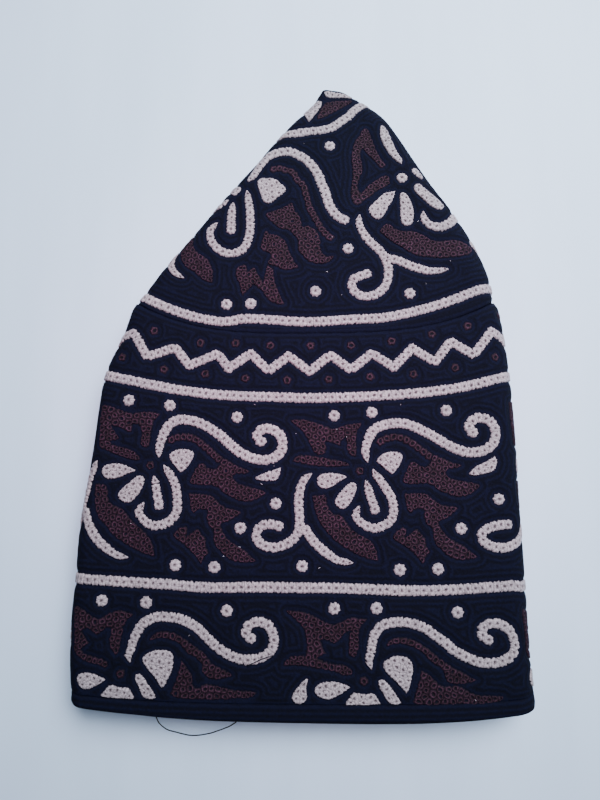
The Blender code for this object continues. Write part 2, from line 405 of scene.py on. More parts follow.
def worked_field(part, corners, step=EYELET_STEP):
    """Eyelets packed evenly into a charted outline."""
    centre = np.mean(corners, axis=0)
    run, slant, fall, _, _ = cloth_plane(part, centre[0], centre[1])
    to_mm = np.array([[run, 0.0], [slant, fall]])
    flat = rounded((np.array(corners, float) - centre) @ to_mm)
    outline = flat @ np.linalg.inv(to_mm) + centre
    low, high = flat.min(0), flat.max(0)
    fine = np.stack(np.meshgrid(np.arange(low[0], high[0], FIELD_SAMPLE),
                                np.arange(low[1], high[1], FIELD_SAMPLE)), -1)
    fine = fine.reshape(-1, 2)
    fine = fine[inside_outline(fine, flat)]
    wanted = max(1, round(len(fine) * FIELD_SAMPLE**2 / (step * step * 0.9)))
    seeds = fine[:1]
    nearest_gap = ((fine - seeds[0]) ** 2).sum(1)
    while len(seeds) < wanted:
        seeds = np.vstack([seeds, fine[nearest_gap.argmax()]])
        nearest_gap = np.minimum(nearest_gap, ((fine - seeds[-1]) ** 2).sum(1))
    for _ in range(25):
        nearest = ((fine[:, None] - seeds[None]) ** 2).sum(-1).argmin(1)
        seeds = np.array([fine[nearest == place].mean(0) if (nearest == place).any() else seed
                          for place, seed in enumerate(seeds)])
    charted_seeds = seeds @ np.linalg.inv(to_mm) + centre
    return [(across, down, step * 0.75, None, outline) for across, down in charted_seeds]


def worked_dots(points, width):
    """Single eyelets."""
    return [(across, down, width / 2, None, None) for across, down in points]


def moved(cells, across):
    """The same eyelets further round the cap."""
    return [(at + across, down, half, way, None if outline is None else outline + (across, 0.0))
            for at, down, half, way, outline in cells]


def spaced(part, cells, least):
    """The eyelets without those worked over an earlier one."""
    at = wrap(part, np.array([cell[0] for cell in cells]), np.array([cell[1] for cell in cells])) * 1000
    kept = []
    for place in range(len(cells)):
        if not kept or np.linalg.norm(at[kept] - at[place], axis=1).min() > least:
            kept.append(place)
    return [cells[place] for place in kept]


def eyelet_pattern(sides, rings):
    """One eyelet as a flat pattern: a hole, then rings of cloth outwards, with its map."""
    bm = bmesh.new()
    bmesh.ops.create_circle(bm, cap_ends=True, cap_tris=True, segments=sides, radius=1.0)
    for ring in range(1, rings):
        rim = [edge for edge in bm.edges if edge.is_boundary]
        grown = bmesh.ops.extrude_edge_only(bm, edges=rim)["geom"]
        fresh = [item for item in grown if isinstance(item, bmesh.types.BMVert)]
        bmesh.ops.scale(bm, vec=[(ring + 1) / ring] * 3, verts=fresh)
    bmesh.ops.recalc_face_normals(bm, faces=bm.faces)
    if next(iter(bm.faces)).normal.z > 0:
        bmesh.ops.reverse_faces(bm, faces=bm.faces)
    bm.verts.ensure_lookup_table()
    co = np.array([vert.co[:] for vert in bm.verts])
    ring = np.rint(np.hypot(co[:, 0], co[:, 1])).astype(int)
    turn = np.mod(np.arctan2(co[:, 1], co[:, 0]) / (2 * math.pi), 1.0)
    slot = np.mod(np.rint(turn * sides).astype(int), sides)
    faces, uvs = [], []
    for face in bm.faces:
        corners = [vert.index for vert in face.verts]
        rim = [corner for corner in corners if ring[corner] > 0]
        middle = face.calc_center_median()
        centre = math.atan2(middle.y, middle.x) / (2 * math.pi)
        for corner in corners:
            own = centre if ring[corner] == 0 else turn[corner] + round(centre - turn[corner])
            uvs.append((own, ring[corner] / rings))
        faces.append(corners)
    bm.free()
    return {"ring": ring, "slot": slot, "faces": faces, "uv": np.array(uvs), "sides": sides, "rings": rings}


def eyelet_reach(part, cells, sides):
    """How far each eyelet spreads in each direction, in mm, and where it meets a neighbour."""
    across = np.array([cell[0] for cell in cells])
    down = np.array([cell[1] for cell in cells])
    half = np.array([cell[2] for cell in cells])
    at = wrap(part, across, down) * 1000
    run, slant, fall, along, below = cloth_plane(part, across, down)
    tree = KDTree(len(cells))
    for place, point in enumerate(at):
        tree.insert(point, place)
    tree.balance()
    angle = np.arange(sides) * 2 * math.pi / sides
    rays = np.stack([np.cos(angle), np.sin(angle)], -1)
    reach = np.zeros((len(cells), sides))
    shared = np.zeros((len(cells), sides), bool)
    for place, (_, _, wide, way, outline) in enumerate(cells):
        limit = np.full(sides, wide)
        if way:
            ahead, below_ahead, taper, cap = way
            off = angle - math.atan2(fall[place] * below_ahead,
                                     run[place] * ahead + slant[place] * below_ahead)
            closing = np.abs(np.sin(off)) - taper * np.cos(off)
            limit = np.minimum(cap, wide / np.maximum(closing, 0.02))
        elif outline is not None:
            step = outline - (across[place], down[place])
            edge = np.stack([run[place] * step[:, 0] + slant[place] * step[:, 1],
                             fall[place] * step[:, 1]], -1)
            side = np.roll(edge, -1, 0) - edge
            slope = rays[:, None, 0] * side[None, :, 1] - rays[:, None, 1] * side[None, :, 0]
            slope = np.where(np.abs(slope) < 1e-9, 1e-9, slope)
            out = (edge[:, 0] * side[:, 1] - edge[:, 1] * side[:, 0])[None] / slope
            on_side = (edge[None, :, 0] * rays[:, None, 1] - edge[None, :, 1] * rays[:, None, 0]) / slope
            out = np.where((out > 0) & (on_side >= -1e-6) & (on_side <= 1 + 1e-6), out, 1e3)
            limit = np.minimum(wide * 1.7, out.min(1))
        for _, other, gap in tree.find_range(at[place], half[place] * 3.2):
            if other == place or gap < 0.2:
                continue
            step = at[other] - at[place]
            step = np.array([step @ along[place], step @ below[place]])
            weight = half[place] / (half[place] + half[other])
            toward = rays @ step
            meet = np.where(toward > 1e-6, (step @ step) * weight / np.maximum(toward, 1e-6), 1e3)
            shared[place] |= meet < limit
            limit = np.minimum(limit, meet)
        beside = np.maximum(np.roll(limit, 1), np.roll(limit, -1))
        reach[place] = np.maximum(np.minimum(limit, beside * 1.6), 0.2)
    return across, down, run, slant, fall, reach, shared


def eyelet_mesh(name, part, cells, pattern, profile, seed):
    """All the eyelets of one piece as one mesh, with the points where they meet the ground.

    profile gives the hole's half width in mm, how deep the rim is serrated, how deep the hole's
    floor lies, and each ring's share of the way from the hole to the edge with its height; the
    last ring lies at edge where it meets the ground, and at meet where it meets an eyelet.
    """
    draw = np.random.default_rng(seed)
    sides, ring, slot = pattern["sides"], pattern["ring"], pattern["slot"]
    across, down, run, slant, fall, reach, shared = eyelet_reach(part, cells, sides)
    wave = np.cos(2 * math.pi * np.arange(sides) / 3 + draw.uniform(0, 6, len(cells))[:, None])
    tooth = 1 + profile["teeth"] * (wave + draw.uniform(-0.8, 0.8, reach.shape))
    edge = np.where(shared, reach, reach * tooth)
    bore = np.minimum(profile["hole"] * draw.uniform(0.55, 1.3, len(cells)), reach.min(1) * 0.45)[:, None]
    slit = draw.uniform(0, 2 * math.pi, len(cells))[:, None]
    bore = bore * (1 + 0.35 * np.cos(4 * math.pi / sides * np.arange(sides) - slit))
    rise = draw.uniform(0.85, 1.12, len(cells))[:, None]
    out = np.zeros((len(cells), len(ring)))
    lift = np.full((len(cells), len(ring)), profile["floor"])
    inward = np.ones(len(ring))
    for place, (share, height) in enumerate(profile["rings"], 1):
        here = ring == place
        near, far = bore[:, slot[here]], edge[:, slot[here]]
        out[:, here] = near + (far - near) * share
        lift[:, here] = height * rise
        inward[here] = 1 - share
    rim = ring == pattern["rings"]
    lift[:, rim] = np.where(shared[:, slot[rim]], profile["meet"], profile["edge"])
    angle = slot * 2 * math.pi / sides
    stray = draw.normal(0.0, 0.13, (2, len(cells), 1)) * inward
    u, v = out * np.cos(angle) + stray[0], out * np.sin(angle) + stray[1]
    step_down = v / fall[:, None]
    step_across = (u - slant[:, None] * step_down) / run[:, None]
    points = wrap(part, across[:, None] + step_across, down[:, None] + step_down, lift)
    count = len(ring)
    faces = [[corner + place * count for corner in face]
             for place in range(len(cells)) for face in pattern["faces"]]
    mesh = bpy.data.meshes.new(name)
    mesh.from_pydata(points.reshape(-1, 3).tolist(), [], faces)
    layer = mesh.uv_layers.new(name="stitches")
    layer.data.foreach_set("uv", np.tile(pattern["uv"], (len(cells), 1)).ravel())
    tone = mesh.attributes.new("tone", "FLOAT", "POINT")
    tone.data.foreach_set("value", np.repeat(draw.uniform(0, 1, len(cells)), count))
    mesh.shade_smooth()
    return mesh, points[:, rim | (ring == 0)].reshape(-1, 3)


# Charts of the pattern: percent of the folded face across, and mm down from the seam or,
# on the crown, from the last ring below its tip.
WHITE_LINES = [
    [(-6, 20.2), (0, 20.1), (5, 19.8), (10, 19.3), (20, 19.5), (30, 20), (40, 20.3), (50, 20.8), (65, 20.6),
     (75, 20.7), (90, 21), (100, 21.4), (125, 20.5), (150, 20), (175, 20.3), (206, 20.2)],
    [(-6, 79.6), (0, 79.4), (5, 78.9), (10, 78.5), (20, 78.2), (25, 78.5), (30, 78.7), (40, 78.3),
     (48, 78.4), (56, 78.4), (64, 78.8), (72, 79.3), (80, 79.4), (92, 79.6), (100, 80.9), (130, 79),
     (160, 78.5), (206, 79.6)],
]
ZIGZAG = [(-6, 7.2), (-1.2, 11.8), (4.3, 7.2), (9.2, 11.9), (14.6, 7.5), (19.3, 11.8), (25, 7.3),
          (28.7, 11.5), (32.9, 6.5), (38.3, 12), (42.4, 7.2), (48.1, 12.3), (52.5, 7.1), (58, 12),
          (62.7, 6.9), (68.2, 11.8), (72.6, 6.3), (78.1, 11.8), (82.1, 6.4), (87.4, 12.3), (92.3, 7.4)]
ZIGZAG += [(97.3 + 4.95 * place, 12 if place % 2 == 0 else 7.1) for place in range(23)]
BIG_DOTS = [(8.4, 25.1), (17.7, 24.5), (33.1, 26.8), (55, 26.5), (63.5, 25.7), (80.3, 26.9), (43, 53.4),
            (35.8, 60.9), (91, 54.9), (82.7, 62.1), (22.6, 72.5), (30.8, 72.7), (49.1, 72.1), (69.5, 73.2),
            (77.5, 73.3), (7.9, 84.5), (17, 83.9), (33.7, 85.3), (55.8, 84.3), (64.5, 84.2), (81.2, 85.9)]
# Strokes: width at the start, full width, width at the end (None for a round one), points.
BAND_STROKES = [
    (2.3, 3.1, None, [(16.6, 40.5), (16.4, 37.5), (16.8, 34.5), (17.8, 31), (19.6, 28.9), (22, 28.4),
                      (24.5, 29), (27, 30.4), (29.5, 32.6), (32, 35.4), (34.5, 38), (37, 39.5),
                      (39.3, 40.1), (41.5, 39.6), (43.2, 37.8), (43.6, 35), (42.7, 32), (40.5, 30.4),
                      (38.5, 30.9), (37.9, 32.5), (38.4, 34), (39.6, 34.7)]),
    (2.3, 3.1, None, [(62.5, 41), (62, 38.2), (62.2, 36), (62.8, 33.5), (63.8, 31.3), (65.5, 30),
                      (67.5, 29.5), (69.5, 29.4), (72, 30.2), (75, 32.4), (77.5, 34.5), (79.5, 36.5),
                      (82, 38.6), (84.5, 40), (86.5, 40.4), (88.7, 40), (90.4, 38.5), (91, 36.3),
                      (90.7, 33.8), (89.5, 31.7), (87.7, 30.6), (86, 31), (85.2, 32.7), (85.7, 34.3),
                      (86.8, 34.6)]),
    (2.2, 2.8, 2.2, [(17.8, 42.8), (18.9, 44.5), (20.3, 47), (21.3, 50), (21.8, 53.5), (21.9, 56.5), (21, 59),
                     (19.3, 60.6), (17.4, 61.1), (15.6, 60.2), (14.2, 58.2), (13.9, 57), (14.7, 54.5)]),
    (2.2, 2.8, 2.2, [(63.7, 43.2), (64.3, 44.8), (65.5, 46.8), (66.8, 49.5), (67.9, 52), (68.3, 54.5),
                     (68.3, 56.5), (67.7, 58.8), (66.2, 60.2), (64.4, 60.9), (62.5, 60.2), (61, 58.7),
                     (60.3, 57), (60.9, 54.2)]),
    (2.4, 2.9, None, [(16, 46.3), (16.7, 49), (17.2, 51.5), (17.8, 54), (18.1, 56)]),
    (2.4, 2.9, None, [(62.2, 46.6), (62.9, 49.5), (63.5, 52), (64.2, 54.5), (64.5, 56.4)]),
    (2.1, 2.9, None, [(50.3, 44.3), (48.7, 46.5), (48, 49.5), (47.9, 53), (48.2, 57), (48.4, 60), (48, 62.4),
                      (46.8, 64.6), (45, 66), (43, 66.6), (41, 66), (39.5, 64.2), (39.4, 62), (40.3, 60.2),
                      (42, 59.7), (43.5, 60), (44.6, 60.8)]),
    (2.9, 2.9, 1.5, [(48.6, 58.5), (49.6, 61), (50.8, 63.6), (52.4, 66), (54.5, 68.5), (56.6, 70.3),
                     (59.9, 71.1)]),
    (2.1, 2.9, None, [(14.3, 101.1), (14, 99.1), (14.6, 97.1), (14.8, 95.4), (15.1, 94.1), (15.7, 92.4),
                      (16.3, 90.7), (17.3, 89.3), (18.5, 88.4), (19.8, 87.8), (21.8, 87.7), (23.6, 87.9),
                      (25.1, 88.5), (26.8, 89.6), (28.2, 90.9), (29.6, 92.7), (30.9, 94.5), (32.3, 96.1),
                      (33.9, 97.5), (35.5, 98.5), (37.1, 99.1), (38.7, 99.1), (40.3, 98.8), (41.7, 97.9),
                      (42.8, 96.6), (43.4, 94.9), (43.5, 92.9), (43, 90.7), (42.2, 89.2), (40.9, 88.4),
                      (39.5, 88.5), (38.2, 89.6), (37.8, 91.6), (38.5, 92.9), (39.6, 93.2)]),
    (2.1, 2.9, None, [(63.2, 101.4), (62.8, 98.8), (63.2, 96.8), (63.4, 94.9), (63.8, 92.7), (64.4, 90.9),
                      (65.5, 89.2), (66.8, 88.5), (68.4, 88.2), (70, 88.2), (71.6, 88.6), (73.2, 89.3),
                      (74.8, 90.4), (76.2, 92), (77.2, 93), (78.4, 94.3), (79.6, 96), (80.7, 97.1),
                      (82.3, 98.5), (83.9, 99.6), (85.5, 100.4), (87.1, 100.7), (88.7, 100.7),
                      (90.3, 100.2), (91.7, 99.1), (92.5, 97.4), (92.5, 95.2), (92, 92.9), (91.1, 91.3),
                      (89.7, 90), (88.1, 89.6), (86.7, 90.2), (85.9, 91.6), (86.4, 93.5), (87.9, 94.5)]),
]
# The hooks on the left fold, and the shorter one that the maker worked beside the right fold.
FOLD_HOOKS = [
    (2.1, 2.9, None, [(3.2, 44.2), (2.6, 47), (2, 50), (1.6, 54), (1.2, 57), (0.8, 60), (-0.5, 63.5),
                      (-2.5, 66.3), (-5, 67.5), (-7, 66), (-7.6, 63.5), (-6, 62), (-3.5, 62)]),
    (2.9, 2.9, 1.5, [(1.6, 57), (2.8, 60.4), (4.2, 64), (6.3, 67.4), (8.8, 69.8), (10.6, 70.9),
                     (12.8, 71.2)]),
]
RIGHT_HOOK = [(106, 60), (103, 62), (100.3, 63.8), (98.2, 65.6), (96.2, 67.2), (94, 68.4), (91.5, 68.8),
              (89, 68), (87.3, 66.2), (87, 64.3), (88.2, 62.9), (90.3, 62.3), (93.5, 62.5)]
BAND_PETALS = [
    [(18.7, 39.2), (19.8, 37.9), (22, 37.2), (24.1, 38), (24.2, 39.5), (23.2, 42.7), (22, 44.5), (21.5, 44.6),
     (20.5, 43), (19, 41)],
    [(64.5, 40.2), (66, 38.3), (68, 37.9), (70.2, 38.7), (70.2, 40.5), (69.3, 43), (68, 45), (66.8, 43.8),
     (65.5, 42), (64.5, 41.2)],
    [(12.1, 45.3), (10, 44.2), (8, 43.8), (5.8, 44.4), (4.7, 45.7), (4.7, 47.5), (5.5, 48.7), (6.5, 49),
     (9, 47.8), (10.5, 46.3)],
    [(58.2, 45.4), (56.5, 44.4), (54, 44.1), (52, 44.6), (51.4, 46.5), (52, 48.3), (53.2, 49.1), (55, 48.4),
     (56.5, 46.8)],
    [(12.6, 46.5), (13.8, 46.7), (14.2, 48), (13.8, 51), (12.8, 53.5), (11.5, 55.3), (10, 55), (9, 53.7),
     (8.9, 52.7), (9.9, 50.5), (11, 49), (12, 47.3)],
    [(59, 46.8), (60.3, 47.5), (60.2, 50), (59.2, 53), (57.7, 55.5), (56.3, 54.5), (55.5, 53), (56.2, 51),
     (57.5, 48.8)],
    [(37.9, 45.8), (39.5, 44.2), (43.6, 42.4), (43.2, 46.3), (41, 46.7), (38.5, 46.2)],
    [(84.6, 46.6), (86, 44.5), (88, 43.8), (90.5, 42.5), (91, 43.5), (90.9, 45), (90.2, 46.7), (88, 47),
     (86, 47.2)],
    [(16.7, 100.2), (17, 99.1), (17.8, 98.4), (19, 97.4), (21, 97), (22.4, 97.4), (23.1, 98.5), (23.1, 100.2),
     (22.8, 102.7), (22, 104.9), (21.2, 107.1), (20.6, 107.7), (20, 106.6), (19.5, 105.2), (18.5, 103.8),
     (17.5, 102.1)],
    [(65.5, 100.6), (65.7, 99.3), (66.8, 98.6), (67.6, 97.8), (69, 97.7), (70.6, 98.1), (71.5, 99.6),
     (71.6, 101.8), (71.2, 104.1), (70.6, 106.6), (69.9, 108.4), (69.4, 107.4), (68.8, 106.3),
     (67.8, 104.6), (66.7, 103.4), (65.9, 101.8)],
    [(15.1, 105.3), (15.7, 104.1), (16.5, 104.3), (17.3, 105.7), (18.1, 107.4), (18.8, 108.8), (19.3, 110.2),
     (18.8, 110.9), (17.1, 110.9), (16.4, 109.8), (15.9, 107.7)],
    [(64.3, 105.7), (64.5, 104.5), (65.1, 104.2), (66, 104.9), (66.7, 106.3), (67.4, 107.9), (68.2, 109.6),
     (68.6, 110.9), (67.8, 111.4), (66.7, 111.3), (65.7, 110.2), (65.1, 108.2)],
    [(3.3, 107.7), (3.6, 106), (4.8, 105.2), (6.7, 105.2), (8.3, 105.9), (9.4, 106.4), (8.5, 107.4),
     (6.9, 108.8), (5.2, 109.9), (4, 109.3)],
    [(51.2, 107.9), (51.7, 106.3), (53, 105.2), (55.3, 104.9), (56.9, 105.4), (58.7, 106.4), (57.3, 107.9),
     (55.7, 109.1), (54, 110.2), (52, 109.2)],
    [(7.9, 111.2), (8.9, 109.5), (9.7, 108.2), (10.5, 107.7), (11.9, 108.4), (13.7, 108.1), (14.3, 109.1),
     (14.9, 111.1), (11.5, 111.3)],
    [(57.2, 111.4), (58.3, 109.3), (59.3, 107.9), (60.1, 108.2), (61.9, 108.5), (62.8, 108.1), (63.7, 108.8),
     (64.4, 111.2), (61, 111.4)],
    [(50.4, 104.1), (49.8, 106), (49.7, 107.9), (49.8, 109.9), (48.6, 111.3), (47.4, 111.3), (46.5, 109.8),
     (47.2, 107.9), (48.2, 106.3), (49.4, 104.6)],
]
CROWN_LINES = [
    [(-6, 86.5), (0, 86.4), (5, 86.3), (11, 86.2), (18, 86.2), (22.6, 86), (25.1, 85.5), (27.7, 84.5),
     (31, 84.1), (35, 84.1), (40, 84.4), (45, 84.6), (50, 84.4), (55, 84), (60, 83.8), (65, 83.7),
     (70, 83.1), (75, 82.5), (80, 82), (85, 81.7), (90, 81.8), (95, 82.7), (100, 83.6), (125, 84.8),
     (160, 84.2), (190, 85.8), (206, 86.5)],
    [(-4, 25.8), (-1, 25), (2, 24.4), (5.5, 23.4), (10.8, 21.7), (16, 19.9), (21.1, 18.6), (26.1, 17.7),
     (31.1, 16.8), (34.5, 16.1), (38.4, 14.9), (41.7, 13.6), (47, 11.9), (50.5, 11.2), (53.9, 10.2),
     (58.9, 8.9), (63.9, 8.1), (71.1, 7.3), (81.4, 6.5), (97, 7.2), (112, 22), (125, 21), (145, 15),
     (165, 10), (180, 7.6)],
]
CROWN_STROKES = [
    (2.2, 3.2, None, [(6, 42.7), (6.2, 40.8), (5.8, 38.7), (5.4, 36.2), (5.7, 33.9), (7.2, 31.8),
                      (9.4, 30.4), (11.8, 29.3), (14.6, 28.5), (17.5, 28.5), (20.5, 28.8), (23.6, 29.3),
                      (26.6, 30), (28.9, 31), (31.2, 32.1), (33.2, 33.3), (35.6, 35.1), (38.2, 37.9),
                      (40.2, 39.8), (42, 42.2), (43.8, 44.8), (45.5, 46.6), (47.6, 48.3), (49.5, 49.4),
                      (51.3, 50), (52.4, 50.3)]),
    (2.1, 2.8, 2.1, [(8, 45.3), (9.5, 46.3), (11.6, 48.2), (13.6, 50.2), (15.2, 52.4), (16.5, 54.3),
                     (17.7, 56.7), (18.4, 58.9), (18.7, 61.1), (18.1, 62.8), (16.4, 64.1), (14.2, 64.6),
                     (12, 64.3), (10.2, 63.7), (8.2, 62.7), (6.7, 61.2), (6, 59.9), (6.3, 57.3)]),
    (2.4, 2.9, None, [(6.8, 50), (8.3, 52.5), (9.8, 55), (11.3, 57.2), (11.9, 58.5)]),
    (2.8, 2.8, 1.5, [(-4.3, 66.3), (-2.2, 68.4), (-0.1, 70.9), (3, 74.7), (5.2, 76.3), (8.2, 76.7)]),
    (2.0, 2.9, None, [(57.1, 48.1), (57, 50.8), (57.7, 53), (59.2, 55.6), (61.4, 58.2), (63.7, 60.4),
                      (65.6, 63), (66.6, 66.1), (66.8, 68.7), (66.2, 71.8), (64.7, 74.4), (62.5, 75.9),
                      (60, 76.4), (57.8, 75.7), (56.2, 74), (55.7, 71.8), (56.6, 70.2), (58.4, 69.5),
                      (60.3, 68.9), (61.2, 68.8)]),
    (2.9, 2.9, 1.4, [(64.3, 61.4), (66, 63.5), (68.2, 64.4), (71.2, 65.8), (73.4, 67.4), (75.9, 68.9),
                     (78.5, 70.3), (81.1, 71.1), (84.7, 71.8)]),
    (2.2, 3.1, 2.2, [(82.9, 49.3), (82.2, 51.7), (82.7, 53.9), (84.2, 55.6), (86.4, 56.8), (88.6, 56.9),
                     (90.8, 56.5), (93, 55.6), (95.6, 54.8), (100, 53.6), (103, 52), (104.5, 49.5)]),
]
CROWN_PETALS = [
    [(9, 40.9), (10.2, 39.7), (11.8, 39.7), (13.4, 38.9), (16.3, 38.8), (18.5, 39.7), (20.9, 40.1),
     (22.9, 41.5), (21.8, 43), (20.5, 44.6), (19.4, 46.5), (17.6, 46.8), (16.1, 46.4), (14.4, 45.2),
     (12, 43.6), (10, 42.3)],
    [(60.8, 46), (62, 44.7), (64.6, 43), (67.7, 40.8), (70.3, 40.1), (74.3, 39.9), (72.4, 43), (70.2, 44.7),
     (68.2, 47.3), (65.7, 49.9), (63.5, 49.7), (61.9, 48.6)],
    [(75.5, 42.3), (76.4, 40.8), (77.8, 40.7), (79.4, 42.1), (79.7, 46.9), (79, 49.5), (77.6, 52.8),
     (75.3, 53.4), (73.9, 52.6), (73.2, 51.3), (74.1, 47.3), (75, 44.3)],
    [(82.8, 40.8), (83.9, 39.2), (86.3, 38.8), (87.7, 40.8), (89.6, 43.8), (91.5, 46.5), (92.6, 49.1),
     (90.8, 50.6), (89, 50.8), (87.1, 49.1), (85.6, 46.5), (84, 43.4)],
    [(75.4, 18.9), (77.2, 16.8), (79.3, 15.4), (81.7, 15.3), (83.4, 17.1), (82.7, 19.8), (82.4, 23.3),
     (83, 26.8), (83.7, 29.4), (82.1, 30.5), (80.2, 29.4), (77.8, 27.2), (76.3, 24.2), (75.2, 21.6)],
    [(86.2, 33.8), (87.5, 32.7), (90.6, 33), (91.7, 36.2), (89.9, 37.7), (88.3, 36.8), (86.8, 35.1)],
    [(12.7, 4.2), (18.8, 5.6), (15.8, 10.9), (14.8, 15.4), (9.2, 14), (3, 12.4), (-3, 10.6), (2, 6)],
    [(14, 0.9), (24.7, 0.5), (44.3, 0.6), (62, 1), (80, 1.6), (73, 3), (58, 2.9), (42.6, 2.8), (26.9, 3),
     (19, 2.4)],
    [(4.2, 48), (1.8, 47.7), (0.9, 45.3), (4.2, 45), (5.6, 45.2), (6.1, 46.2), (5.7, 48)],
]
CROWN_DOTS = [(37.2, 23.3), (53.5, 60.1), (45.3, 74.5), (21.9, 80.7), (28.1, 79.4), (79.7, 35.5),
              (72.5, 76.5)]

ZIGZAG_WIDTH = 2.9
HOOK_WIDTH = 2.9
HOOK_START = 2.2
DOT_WIDTH = 3.55
WHITE_LEAST_GAP = 1.25
# The repeated hooks are left out between these, where the shorter one stands instead.
RIGHT_FOLD = (80.0, 108.0)
BAND_REPEAT = 93.0
CROWN_REPEAT = 100.0
UNDER_END = 200.0 + SLOT_REACH


def repeated(cells, repeat):
    """The pattern carried on round the folds, as far as it shows."""
    ring = [cell for turn in range(-1, 4) for cell in moved(cells, turn * repeat)]
    return [cell for cell in ring if -SLOT_REACH < cell[0] < UNDER_END]


def placed(part, strokes, petals, dots, repeat):
    """One row of white motifs, repeated."""
    cells = []
    for start, width, end, points in strokes:
        cells += worked_line(part, points, width, start if start < width else None, end)
    for corners in petals:
        cells += worked_field(part, corners)
    return repeated(cells + worked_dots(dots, DOT_WIDTH), repeat)


band_white = [cell for points in WHITE_LINES for cell in worked_line(band, points, LINE_WIDTH)]
band_white += worked_line(band, ZIGZAG, ZIGZAG_WIDTH, straight=True)
band_white = [cell for cell in band_white if -SLOT_REACH < cell[0] < UNDER_END]
band_white += placed(band, BAND_STROKES, BAND_PETALS, BIG_DOTS, BAND_REPEAT)
band_white += [cell for cell in placed(band, FOLD_HOOKS, [], [], BAND_REPEAT)
               if not RIGHT_FOLD[0] < cell[0] < RIGHT_FOLD[1]]
band_white += worked_line(band, RIGHT_HOOK, HOOK_WIDTH, HOOK_START)
band_white = spaced(band, band_white, WHITE_LEAST_GAP)
crown_white = [cell for points in CROWN_LINES for cell in worked_line(crown, points, LINE_WIDTH)]
crown_white += placed(crown, CROWN_STROKES, CROWN_PETALS, CROWN_DOTS, CROWN_REPEAT)
crown_white = spaced(crown, crown_white, WHITE_LEAST_GAP)


def stitch_nodes(tree, threads, lowest, highest):
    """Threads fanned round each eyelet, from its stitch map: X goes once round, Y out to the edge.

    It gives the share of the way out, the height of the threads, how much they darken or
    lighten the eyelet, and the eyelet's own tone.
    """
    stitch_map = add_node(tree, "ShaderNodeUVMap", {"uv_map": "stitches"})
    split = add_node(tree, "ShaderNodeSeparateXYZ", None, {"Vector": stitch_map.outputs["UV"]})
    own = add_node(tree, "ShaderNodeAttribute", {"attribute_name": "tone"})
    turn = add_node(tree, "ShaderNodeMath", {"operation": "MULTIPLY", 1: threads}, {0: split.outputs["X"]})
    out = add_node(tree, "ShaderNodeMath", {"operation": "MULTIPLY", 1: 2.2}, {0: split.outputs["Y"]})
    seed = add_node(tree, "ShaderNodeMath", {"operation": "MULTIPLY", 1: 400.0}, {0: own.outputs["Fac"]})
    fanned = add_node(tree, "ShaderNodeCombineXYZ", None,
                      {"X": turn.outputs["Value"], "Y": out.outputs["Value"], "Z": seed.outputs["Value"]})
    fibre = add_node(tree, "ShaderNodeTexNoise", {"Scale": 1.0, "Detail": 1.5},
                     {"Vector": fanned.outputs["Vector"]})
    spread = add_node(tree, "ShaderNodeMapRange",
                      {"From Min": 0.32, "From Max": 0.66, "To Min": lowest, "To Max": highest},
                      {"Value": fibre.outputs["Fac"]})
    return split.outputs["Y"], fibre.outputs["Fac"], spread.outputs["Result"], own.outputs["Fac"]


# Mercerised cotton, satin-stitched: off-white and a little pink, with painted light along each thread,
# painted shade grey round the hole and a little darker at the outer edge where it dips to the ground,
# and dark brown in the hole, which stands for the navy cloth below with painted shade on it. About 22 threads
# to an eyelet.
white_cotton, tree, shader = new_material("off_white_cotton_stitches")
out_share, fibre, lit, own_tone = stitch_nodes(tree, 22.0, 0.46, 1.18)
place = add_node(tree, "ShaderNodeTexCoord")
# Painted shade: dark in the hole, grey on its rim and darker again at the outer edge.
radial = colour_ramp(tree, out_share, [(0.0, "2A2127"), (0.20, "5C5056"), (0.36, "7E737A"), (0.50, "9F969E"),
                                       (0.88, "9C9299"), (1.0, "847B82")])
blotch = add_node(tree, "ShaderNodeTexNoise", {"Scale": 60.0, "Detail": 3.0},
                  {"Vector": place.outputs["Object"]})
worn = add_node(tree, "ShaderNodeMapRange",
                {"From Min": 0.3, "From Max": 0.7, "To Min": 0.93, "To Max": 1.03},
                {"Value": blotch.outputs["Fac"]})
single = add_node(tree, "ShaderNodeMapRange", {"To Min": 0.9, "To Max": 1.02}, {"Value": own_tone})
shade = add_node(tree, "ShaderNodeMath", {"operation": "MULTIPLY"}, {0: worn.outputs["Result"], 1: lit})
shade = add_node(tree, "ShaderNodeMath", {"operation": "MULTIPLY"},
                 {0: shade.outputs["Value"], 1: single.outputs["Result"]})
tint = add_node(tree, "ShaderNodeVectorMath", {"operation": "SCALE"},
                {0: radial, "Scale": shade.outputs["Value"]})
tree.links.new(tint.outputs["Vector"], shader.inputs["Base Color"])
raised = add_node(tree, "ShaderNodeBump", {"Strength": 1.0, "Distance": 0.00028}, {"Height": fibre})
tree.links.new(raised.outputs["Normal"], shader.inputs["Normal"])
shader.inputs["Roughness"].default_value = 0.6
shader.inputs["Sheen Weight"].default_value = 0.1

white_pattern = eyelet_pattern(24, 4)
WHITE_PROFILE = {
    "hole": 0.24,
    "teeth": 0.09,
    "floor": -0.00015,
    "rings": [(0.0, 0.00012), (0.30, 0.00040), (0.78, 0.00036), (1.0, 0.0)],
    "edge": -0.00014,
    "meet": 0.00026,
}
edges = {"band": [], "crown": []}
for name, part, cells, slot, seed in (("band", band, band_white, "band_cloth", 3),
                                      ("crown", crown, crown_white, "crown_cloth", 5)):
    for side, low, high in (("top", -SLOT_REACH, 100.0), ("under", 100.0, UNDER_END)):
        shown = [cell for cell in cells if low < cell[0] <= high]
        mesh, edge = eyelet_mesh(f"{name}_white_eyelets_{side}", part, shown, white_pattern,
                                 WHITE_PROFILE, seed)
        piece = add_object(mesh.name, mesh, white_cotton)
        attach(piece, "root")
        edges[name].append(edge)

